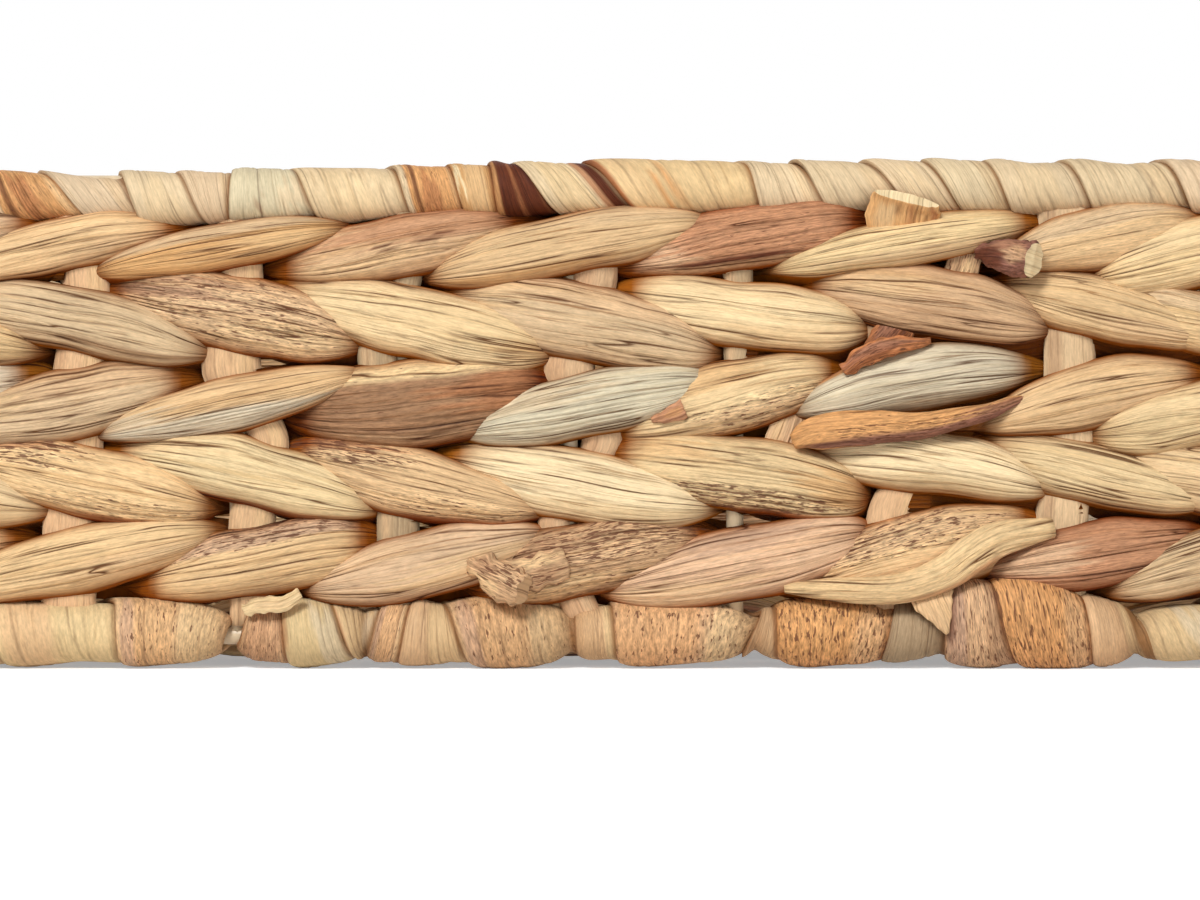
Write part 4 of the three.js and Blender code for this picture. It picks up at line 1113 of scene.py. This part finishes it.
# The loose ends of the photographed stretch: a line of (along, out, up) in millimetres from the tray's
# middle, the half widths along it, its half thickness, finish, raggedness, and the tone of its cut end
LOOSE_ENDS = {
    "cut_strip_under_top_rim": (
        ((86.2, 1.5, 62.5), (86.4, 3.2, 66.0), (86.6, 4.4, 68.2), (86.9, 5.7, 69.6)),
        (5.2, 5.5, 5.4, 4.9), 1.1, "orange strip", 0.16, "pale_cream",
    ),
    "cut_stub_in_second_course": (
        ((97.5, 2.8, 61.7), (100.5, 4.6, 61.4), (103.2, 5.8, 60.8), (105.2, 7.9, 60.3)),
        (1.0, 2.3, 2.8, 2.6), 2.0, "dark stub", 0.28, "pale_cream",
    ),
    "tucked_leaf_beside_the_stub": (
        ((94.4, 0.6, 56.5), (95.2, 1.5, 59.0), (96.0, 1.7, 61.5), (96.6, 1.0, 64.0)),
        (2.2, 2.5, 2.5, 2.2), 0.7, "rough brown", 0.08, None,
    ),
    "leaf_behind_third_course": (
        ((67.6, 0.4, 30.5), (68.6, 1.4, 33.0), (69.6, 1.5, 35.5), (70.4, 0.8, 38.0)),
        (2.4, 2.8, 2.8, 2.4), 0.7, "sheath", 0.05, None,
    ),
    "tucked_fold_in_third_course": (
        ((77.6, 4.6, 44.2), (81.0, 5.2, 46.6), (85.0, 5.0, 47.9), (90.5, 3.6, 48.6)),
        (1.0, 1.6, 1.4, 0.5), 0.9, "reddish fold", 0.15, None,
    ),
    "reddish_tip_in_third_course": (
        ((49.4, 3.8, 36.9), (51.0, 4.6, 37.4), (52.6, 5.0, 38.0), (54.0, 5.0, 38.6)),
        (0.5, 0.9, 1.3, 1.5), 0.5, "reddish tip", 0.08, None,
    ),
    "tucked_upright_leaf": (
        ((82.0, 1.8, 46.5), (84.2, 2.4, 49.2), (86.5, 2.4, 52.0), (88.0, 1.4, 54.5)),
        (1.6, 2.6, 2.8, 2.0), 0.7, "reddish fold", 0.2, None,
    ),
    "crossing_leaf_on_third_course": (
        ((70.2, 4.4, 33.8), (73.5, 5.4, 35.0), (79.0, 5.9, 35.6), (86.0, 5.9, 35.9),
         (93.0, 5.6, 36.9), (100.5, 4.6, 38.8), (105.0, 3.2, 40.4)),
        (1.2, 2.5, 2.7, 2.2, 1.7, 1.1, 0.4), 1.6, "thick orange", 0.12, None,
    ),
    "broken_end_in_first_course": (
        ((36.5, 4.4, 15.6), (32.5, 5.2, 14.6), (28.0, 5.6, 13.8), (24.0, 5.2, 13.4)),
        (2.6, 2.6, 2.2, 1.4), 1.5, "brown, rough", 0.25, "cream",
    ),
    "broken_splinter_in_first_course": (
        ((22.6, 4.2, 15.6), (25.4, 5.6, 14.2), (28.4, 6.6, 12.7), (30.4, 7.8, 11.8)),
        (1.3, 2.5, 3.0, 2.3), 1.7, "brown, rough", 0.38, "tan",
    ),
    "torn_scrap_above_bottom_rim": (
        ((-11.0, 4.6, 8.8), (-8.6, 5.4, 9.6), (-5.4, 5.8, 9.8), (-2.6, 5.0, 11.2)),
        (0.9, 1.2, 1.2, 0.8), 0.4, "torn pale", 0.13, None,
    ),
    "hanging_tip_on_bottom_rim": (
        ((90.2, 3.8, 12.4), (90.8, 5.2, 10.4), (91.8, 5.7, 8.0), (92.7, 5.9, 5.4)),
        (3.6, 3.1, 1.8, 0.3), 0.6, "straw", 0.1, None,
    ),
    "twisted_fold_in_first_course": (
        ((69.0, 3.0, 12.0), (76.5, 4.7, 11.9), (85.0, 5.6, 12.0), (91.8, 6.2, 14.0),
         (96.4, 6.2, 17.2), (101.0, 5.8, 19.6), (108.5, 4.0, 20.9)),
        (0.8, 1.8, 2.2, 2.6, 2.9, 2.6, 1.5), 1.3, "folded tan", 0.06, None,
    ),
}

# The sheaths on the front uprights of the stretch: finish, then height, shift along the wall and half width
# of the flat leaf, from its foot to its top, in millimetres. Below the foot of upright 9 the wire is bare.
SEEN_SHEATHS = {
    6: ("sheath", ((6.4, 1.8, 3.0), (22.5, 2.2, 3.5), (34.0, 4.6, 3.0), (44.0, -0.9, 4.5),
        (58.0, 0.4, 3.4), (70.5, -0.6, 3.2))),
    7: ("sheath green", ((6.4, -1.2, 2.6), (21.5, -0.8, 3.2), (34.0, -1.0, 3.0), (47.5, -3.9, 3.0),
        (58.0, 0.4, 2.4), (70.5, 0.2, 2.4))),
    8: ("sheath pink", ((6.4, 2.6, 3.0), (21.5, -2.2, 2.6), (33.5, 4.9, 3.1), (40.0, 1.6, 3.8),
        (45.5, -0.2, 4.1), (58.0, 3.8, 3.4), (70.5, 3.0, 3.0))),
    9: ("sheath green", ((42.0, 0.2, 1.2), (48.0, 0.4, 2.2), (58.0, 0.3, 2.4), (70.5, 0.2, 2.4))),
    10: ("sheath", ((6.4, -2.0, 3.0), (22.5, -1.4, 3.7), (35.0, 2.4, 2.6), (50.0, -1.5, 3.8),
        (58.0, -1.0, 3.0), (70.5, 1.0, 3.0))),
}


def upright_sheath(k, finish, stations, rng):
    """A flat leaf along an upright: a flattened ellipse, wide along the wall, on a curve through its
    stations."""
    rows, columns = 48, 13
    heights, shift, half = smooth_path(np.array(stations), rows).T[:, :, None]
    q = round_columns(columns)
    rounded = (1 - np.abs(q) ** 2.6) ** 0.5
    crease = sharp_folds(rows, columns, 0.0, 0.4, rng)
    side = faced(q, q)
    n = 0.5 + faced(rounded, -rounded) * (1.6 - 0.10 * crease)
    points = wall_place(k + (shift + half * side) / LONG_PITCH, n, heights)
    tone = paint([finish], np.zeros(rows, int), np.linspace(-1, 1, rows)[:, None], side, rng)
    v = half * side + rng.uniform(0, 300)
    return tube(points, heights[:, 0], v, tone, crease)


# Materials


class Nodes:
    """Short calls for the nodes of a material or the world, whose last node has the given name. Each call
    makes a node, sets its inputs and links what it is given."""

    def __init__(self, owner, last):
        owner.use_nodes = True
        self.tree = owner.node_tree
        self.last = self.tree.nodes[last]

    def give(self, socket, value):
        if isinstance(value, bpy.types.NodeSocket):
            self.tree.links.new(value, socket)
        else:
            socket.default_value = value

    def finish(self, values):
        for name, value in values.items():
            self.give(self.last.inputs[name], value)

    def add(self, kind, *values, **settings):
        node = self.tree.nodes.new("ShaderNode" + kind)
        for name, value in settings.items():
            setattr(node, name, value)
        for socket, value in zip(node.inputs, values):
            self.give(socket, value)
        return node

    def math(self, operation, a, b=0.0):
        return self.add("Math", a, b, operation=operation).outputs[0]

    def times(self, a, b):
        return self.math("MULTIPLY", a, b)

    def fit(self, value, low, high, new_low, new_high):
        return self.add("MapRange", value, low, high, new_low, new_high).outputs[0]

    def mix(self, amount, a, b, kind="MULTIPLY"):
        node = self.add("Mix", amount, data_type="RGBA", blend_type=kind)
        self.give(node.inputs[6], a)
        self.give(node.inputs[7], b)
        return node.outputs[2]

    def vector(self, x, y, z):
        return self.add("CombineXYZ", x, y, z).outputs[0]

    def noise(self, place, scale, detail, roughness):
        return self.add("TexNoise", place, 0.0, scale, detail, roughness).outputs[0]

    def bump(self, height, distance):
        node = self.add("Bump")
        self.give(node.inputs["Distance"], distance)
        self.give(node.inputs["Height"], height)
        return node.outputs[0]

    def in_sight(self):
        """1 for rays from the camera and for glossy ones, and otherwise 0."""
        path = self.add("LightPath")
        return self.math("MAXIMUM", path.outputs["Is Camera Ray"], path.outputs["Is Glossy Ray"])


# Tints of the leaf's marks, as linear light. The fold and crease tints are painted shade along the bottoms of
# the folds and creases.
STREAK_TINT = (0.80, 0.68, 0.52, 1)
LINE_TINT = (0.46, 0.31, 0.20, 1)
FOLD_SHADE_TINT = (0.15, 0.075, 0.04, 1)
SPECKLE_TINT = (0.12, 0.04, 0.02, 1)
CREASE_SHADE_TINT = (0.13, 0.06, 0.03, 1)
# Gloss, height of the relief in metres, and strength of the lines of each leaf material
LEAF_MATERIALS = {
    "woven_leaf": (0.04, 0.00034, 1.0),
    "wound_leaf": (0.06, 0.00018, 0.38),
    "flat_leaf": (0.0, 0.00016, 0.3),
    "loose_leaf": (0.04, 0.0003, 0.55),
}


def dress_leaf(m, gloss, relief, line_depth):
    """Dried leaf: the strip's own tone, with fibres drawn out along it, thin dark lines and speckles, and
    painted shade along the bottoms of its folds and creases."""
    tone = m.add("Attribute", attribute_name="leaf_tone").outputs
    strip = m.add("UVMap", uv_map="strip").outputs[0]
    along, across, _ = m.add("SeparateXYZ", strip).outputs
    aside = 0.12

    def noise(per_along, per_across, seed, detail, roughness, place=across):
        """A noise of the given fineness along and across the strip."""
        place = m.vector(m.times(along, per_along), m.times(place, per_across), seed)
        return m.noise(place, 1.0, detail, roughness)

    def line_distance(*fineness):
        """How far off, in millimetres across the leaf, the nearest line is. The lines run where a noise
        crosses one half: the distance is the noise's height there over its slope, from a second sample
        beside it."""
        here = noise(*fineness)
        beside = noise(*fineness, m.math("ADD", across, aside))
        slope = m.math("DIVIDE", m.math("ABSOLUTE", m.math("SUBTRACT", beside, here)), aside)
        off = m.math("ABSOLUTE", m.math("SUBTRACT", here, 0.5))
        return m.math("DIVIDE", off, m.math("ADD", slope, 0.02))

    grain = noise(0.55, 3.6, 0.0, 2.0, 0.7)
    fibres = noise(0.030, 1.5, 3.0, 3.0, 0.6)
    off_fold = line_distance(0.018, 0.50, 7.0, 1.5, 0.45)
    off_line = line_distance(0.020, 1.05, 53.0, 1.0, 0.4)
    dashes = noise(0.45, 3.0, 19.0, 2.0, 0.6)
    blotch = noise(0.10, 0.20, 29.0, 3.0, 0.6)
    streak = noise(0.012, 0.75, 61.0, 2.0, 0.6)
    deep = m.fit(noise(0.06, 0.5, 41.0, 2.0, 0.6), 0.44, 0.60, 0.0, 1.0)
    shallow = m.fit(noise(0.07, 0.7, 47.0, 2.0, 0.6), 0.46, 0.64, 0.0, 1.0)
    folds = m.times(m.fit(off_fold, 0.04, 0.22, 1.0, 0.0), deep)
    lines = m.times(m.fit(off_line, 0.02, 0.16, 1.0, 0.0), shallow)
    shade = m.fit(fibres, 0.3, 0.7, 1.0 - 0.08 * line_depth, 1.0 + 0.07 * line_depth)
    rough = m.fit(tone["Alpha"], 0.0, 1.0, 0.13, 0.52)
    shade = m.times(shade, m.math("ADD", 1.0, m.times(rough, m.fit(grain, 0.3, 0.7, -1.0, 0.9))))
    shade = m.times(shade, m.fit(blotch, 0.3, 0.7, 0.90, 1.10))
    look = m.mix(1.0, tone["Color"], m.vector(shade, shade, shade))
    look = m.mix(m.fit(streak, 0.52, 0.72, 0.0, 0.45 * line_depth), look, STREAK_TINT)
    look = m.mix(m.times(lines, 0.75 * line_depth), look, LINE_TINT)
    # Painted shade: a dark line along the bottom of each fold
    look = m.mix(m.times(folds, 0.95 * line_depth), look, FOLD_SHADE_TINT)
    over = m.math("SUBTRACT", dashes, m.fit(tone["Alpha"], 0.0, 1.3, 0.78, 0.51))
    look = m.mix(m.fit(over, 0.0, 0.035, 0.0, 0.85), look, SPECKLE_TINT, "MIX")
    crease = m.add("Attribute", attribute_name="leaf_crease").outputs["Fac"]
    sharp = m.math("POWER", m.math("MAXIMUM", crease, 0.0), 5.0)
    trough = m.math("POWER", m.fit(off_fold, 0.0, 0.7, 0.0, 1.0), 0.6)
    height = m.math("ADD", m.times(trough, 0.50 * line_depth), m.times(fibres, 0.25))
    height = m.math("ADD", height, m.times(grain, 0.22))
    height = m.math("SUBTRACT", height, m.times(lines, 0.30))
    height = m.math("SUBTRACT", height, m.times(sharp, 0.5))
    m.finish({
        # Painted shade: darker along the creases of the mesh
        "Base Color": m.mix(m.times(sharp, 0.55), look, CREASE_SHADE_TINT, "MIX"),
        "Roughness": m.fit(fibres, 0.3, 0.7, 0.64 - gloss, 0.78 - gloss),
        "Specular IOR Level": 0.10 + gloss,
        "Normal": m.bump(height, relief),
    })


def dress_wire(m):
    """Cream coated wire: slightly glossy, with a faint unevenness of the coat."""
    uneven = m.noise(m.add("TexCoord").outputs["Object"], 900.0, 3.0, 0.5)
    tone = m.add("Attribute", attribute_name="leaf_tone").outputs["Color"]
    shade = m.fit(uneven, 0.3, 0.7, 0.9, 1.06)
    m.finish({
        "Base Color": m.mix(1.0, tone, m.vector(shade, shade, shade)),
        "Roughness": m.fit(uneven, 0.3, 0.7, 0.32, 0.45),
        "Normal": m.bump(uneven, 0.00008),
    })


def material(name):
    """A material of this tray by name, made the first time that it is asked for."""
    if name not in bpy.data.materials:
        m = Nodes(bpy.data.materials.new(name), "Principled BSDF")
        if name in LEAF_MATERIALS:
            dress_leaf(m, *LEAF_MATERIALS[name])
        else:
            dress_wire(m)
    return bpy.data.materials[name]


# Operators


class TRAY_OT_wire_frame(bpy.types.Operator):
    """Make the two rails, the uprights and the wires under the base"""

    bl_idname = "tray.wire_frame"
    bl_label = "Wire frame"

    def execute(self, context):
        ring = np.linspace(0, STAKES, STAKES * RAIL_ROWS, endpoint=False)
        rail, stake = size("rail_wire") / 2, size("stake_wire") / 2
        bars = [
            round_wire(wall_place(ring, 0.0, BOTTOM_RIM_HEIGHT), rail, True),
            round_wire(wall_place(ring, 0.0, TOP_RIM_HEIGHT), rail, True),
        ]
        ends = np.array([BOTTOM_RIM_HEIGHT, TOP_RIM_HEIGHT])
        for k in range(STAKES):
            bars.append(round_wire(wall_place(np.full(2, float(k)), 0.0, ends), stake))
        for k in range(1, CROSS_WIRES + 1):
            x = wall_place(float(k), 0.0, 0.0)[0]
            path = np.array([[x, -HALF_WIDTH, BOTTOM_RIM_HEIGHT], [x, HALF_WIDTH, BOTTOM_RIM_HEIGHT]])
            bars.append(round_wire(path, stake))
        make_piece("wire_rails_and_uprights", bars, material("coated_wire"), ["wire_frame"])
        return {"FINISHED"}


class TRAY_OT_wall_courses(bpy.types.Operator):
    """Twine the five courses of the walls, two strands each"""

    bl_idname = "tray.wall_courses"
    bl_label = "Wall courses"

    def execute(self, context):
        slots = {
            1: ("leaf_straw", "leaf_tan"),
            2: ("leaf_cream", "leaf_straw"),
            3: ("leaf_sage", "leaf_tan"),
            4: ("leaf_cream", "leaf_straw"),
            5: ("leaf_straw", "leaf_russet"),
        }
        for course in range(1, COURSES + 1):
            for letter, slot in zip("ab", slots[course]):
                twined_strand(course, letter, material("woven_leaf"))
        return {"FINISHED"}


class TRAY_OT_upright_sheaths(bpy.types.Operator):
    """Lay the flat leaves along the uprights"""

    bl_idname = "tray.upright_sheaths"
    bl_label = "Upright sheaths"

    def execute(self, context):
        rng = np.random.default_rng(SHEATH_SEED)
        levels = np.linspace(BOTTOM_RIM_HEIGHT + 1.5, TOP_RIM_HEIGHT - 1.5, 5)
        sheaths = []
        for k in range(STAKES):
            half = size("sheath_width") / 2 + rng.normal(0, 0.3, 5)
            drawn = np.stack([levels, rng.normal(0, 0.9, 5), half], 1)
            finish = "sheath grey" if rng.random() < 0.3 else "sheath"
            bare = rng.random() < 0.2
            sheath = SEEN_SHEATHS.get(k, None if bare else (finish, drawn))
            if sheath:
                sheaths.append(upright_sheath(k, *sheath, rng))
        make_piece("leaf_sheaths_on_uprights", sheaths, material("flat_leaf"))
        return {"FINISHED"}


class TRAY_OT_loose_ends(bpy.types.Operator):
    """Lay the cut, torn and tucked ends of leaf on the front wall"""

    bl_idname = "tray.loose_ends"
    bl_label = "Loose ends"

    def execute(self, context):
        for number, (name, drawn) in enumerate(LOOSE_ENDS.items()):
            points, widths, thick, finish, ragged, end = drawn
            rng = np.random.default_rng(LOOSE_END_SEED + number)
            body = leaf_tongue(points, widths, thick, finish, rng, ragged, end)
            leaf = "woven_leaf" if finish == "folded tan" else "loose_leaf"
            make_piece(f"leaf_{name}", [body], material(leaf))
        return {"FINISHED"}


class TRAY_OT_rim_lashings(bpy.types.Operator):
    """Wind the leaf round the top and bottom rails"""

    bl_idname = "tray.rim_lashings"
    bl_label = "Rim lashings"

    def execute(self, context):
        rim_lashings("top", material("wound_leaf"))
        rim_lashings("bottom", material("wound_leaf"))
        return {"FINISHED"}


class TRAY_OT_base_strips(bpy.types.Operator):
    """Weave the flat leaves of the base over and under the cross wires"""

    bl_idname = "tray.base_strips"
    bl_label = "Base strips"

    def execute(self, context):
        for number in range(1, BASE_STRIPS + 1):
            base_strip(number, material("woven_leaf"))
        return {"FINISHED"}


class TRAY_OT_dividers(bpy.types.Operator):
    """Weave and lash the three dividers"""

    bl_idname = "tray.dividers"
    bl_label = "Dividers"

    def execute(self, context):
        materials = {"leaf": material("woven_leaf"), "wire": material("coated_wire")}
        divider("cross_divider", 7, materials)
        divider("long_divider_1", 8, materials)
        divider("long_divider_2", 8, materials)
        return {"FINISHED"}


class TRAY_OT_stage(bpy.types.Operator):
    """Set out the pale floor, the soft lights and the camera"""

    bl_idname = "tray.stage"
    bl_label = "Studio"

    def execute(self, context):
        scene = context.scene
        half = 6.0
        corners = [(-half, -half, 0), (half, -half, 0), (half, half, 0), (-half, half, 0)]
        mesh = bpy.data.meshes.new("studio_floor")
        mesh.from_pydata(corners, [], [(0, 1, 2, 3)])
        floor = bpy.data.objects.new("studio_floor", mesh)
        scene.collection.objects.link(floor)
        white = (1, 1, 1, 1)
        mesh.materials.append(bpy.data.materials.new("studio_white"))
        m = Nodes(mesh.materials[0], "Principled BSDF")
        m.finish({
            "Base Color": (0.9, 0.9, 0.9, 1),
            "Roughness": 0.9,
            "Specular IOR Level": 0.1,
            "Emission Color": white,
            "Emission Strength": m.times(m.in_sight(), 0.35),
        })
        scene.world = bpy.data.worlds.new("studio_world")
        m = Nodes(scene.world, "Background")
        m.finish({"Color": white, "Strength": m.fit(m.in_sight(), 0.0, 1.0, 0.22, 1.0)})

        # Place, aim, width, height and power of each lamp
        lamps = {
            "studio_key": ((-0.5, -1.3, 1.0), (0.03, 0, 0.03), 0.55, 0.45, 25.5),
            "studio_fill": ((1.0, -1.5, 0.45), (0.03, 0, 0.03), 0.9, 0.9, 5),
            "studio_rear": ((0.2, 1.4, 1.4), (0.0, 0, 0.03), 1.4, 0.8, 3),
        }
        for name, (place, aim, width, height, power) in lamps.items():
            light = bpy.data.lights.new(name, "AREA")
            light.shape, light.size, light.size_y, light.energy = "RECTANGLE", width, height, power
            light.color = (0.90, 0.97, 1.0)
            lamp = bpy.data.objects.new(name, light)
            scene.collection.objects.link(lamp)
            away = np.array(aim) - place
            pitch = math.atan2(math.hypot(away[0], away[1]), -away[2])
            lamp.location = place
            lamp.rotation_euler = (pitch, 0, math.atan2(away[1], away[0]) - math.pi / 2)

        camera = bpy.data.objects.new("studio_camera", bpy.data.cameras.new("studio_camera"))
        camera.data.lens, camera.data.sensor_width = 100, 36
        camera.data.clip_start, camera.data.clip_end = 0.02, 50
        camera.location = (0.0416, -0.6114, 0.0325)
        camera.rotation_euler = (math.pi / 2, 0, 0)
        scene.collection.objects.link(camera)
        scene.camera = camera
        scene.view_settings.view_transform = "Standard"
        return {"FINISHED"}


class TRAY_PT_panel(bpy.types.Panel):
    """Lists the steps that make the tray, and its settings"""

    bl_idname = "TRAY_PT_panel"
    bl_label = "Woven cutlery tray"
    bl_space_type = "VIEW_3D"
    bl_region_type = "UI"
    bl_category = "Woven tray"

    def draw(self, context):
        for operator in OPERATORS:
            self.layout.operator(operator.bl_idname)
        for group, kind in ((context.scene.tray_sizes, TraySizes), (context.scene.tray_colours, LeafColours)):
            for name in kind.__annotations__:
                self.layout.prop(group, name)


OPERATORS = (
    TRAY_OT_stage,
    TRAY_OT_wire_frame,
    TRAY_OT_wall_courses,
    TRAY_OT_upright_sheaths,
    TRAY_OT_loose_ends,
    TRAY_OT_rim_lashings,
    TRAY_OT_base_strips,
    TRAY_OT_dividers,
)
CLASSES = (LeafColours, TraySizes, *OPERATORS, TRAY_PT_panel)


def register():
    """Adds the settings, the operators and the panel."""
    for kind in CLASSES:
        bpy.utils.register_class(kind)
    bpy.types.Scene.tray_colours = bpy.props.PointerProperty(type=LeafColours)
    bpy.types.Scene.tray_sizes = bpy.props.PointerProperty(type=TraySizes)


def unregister():
    """Takes them away again."""
    del bpy.types.Scene.tray_sizes
    del bpy.types.Scene.tray_colours
    for kind in reversed(CLASSES):
        bpy.utils.unregister_class(kind)


def main():
    """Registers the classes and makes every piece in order."""
    register()
    bpy.ops.tray.stage()
    bpy.ops.tray.wire_frame()
    bpy.ops.tray.wall_courses()
    bpy.ops.tray.upright_sheaths()
    bpy.ops.tray.loose_ends()
    bpy.ops.tray.rim_lashings()
    bpy.ops.tray.base_strips()
    bpy.ops.tray.dividers()


if __name__ == "__main__":
    main()
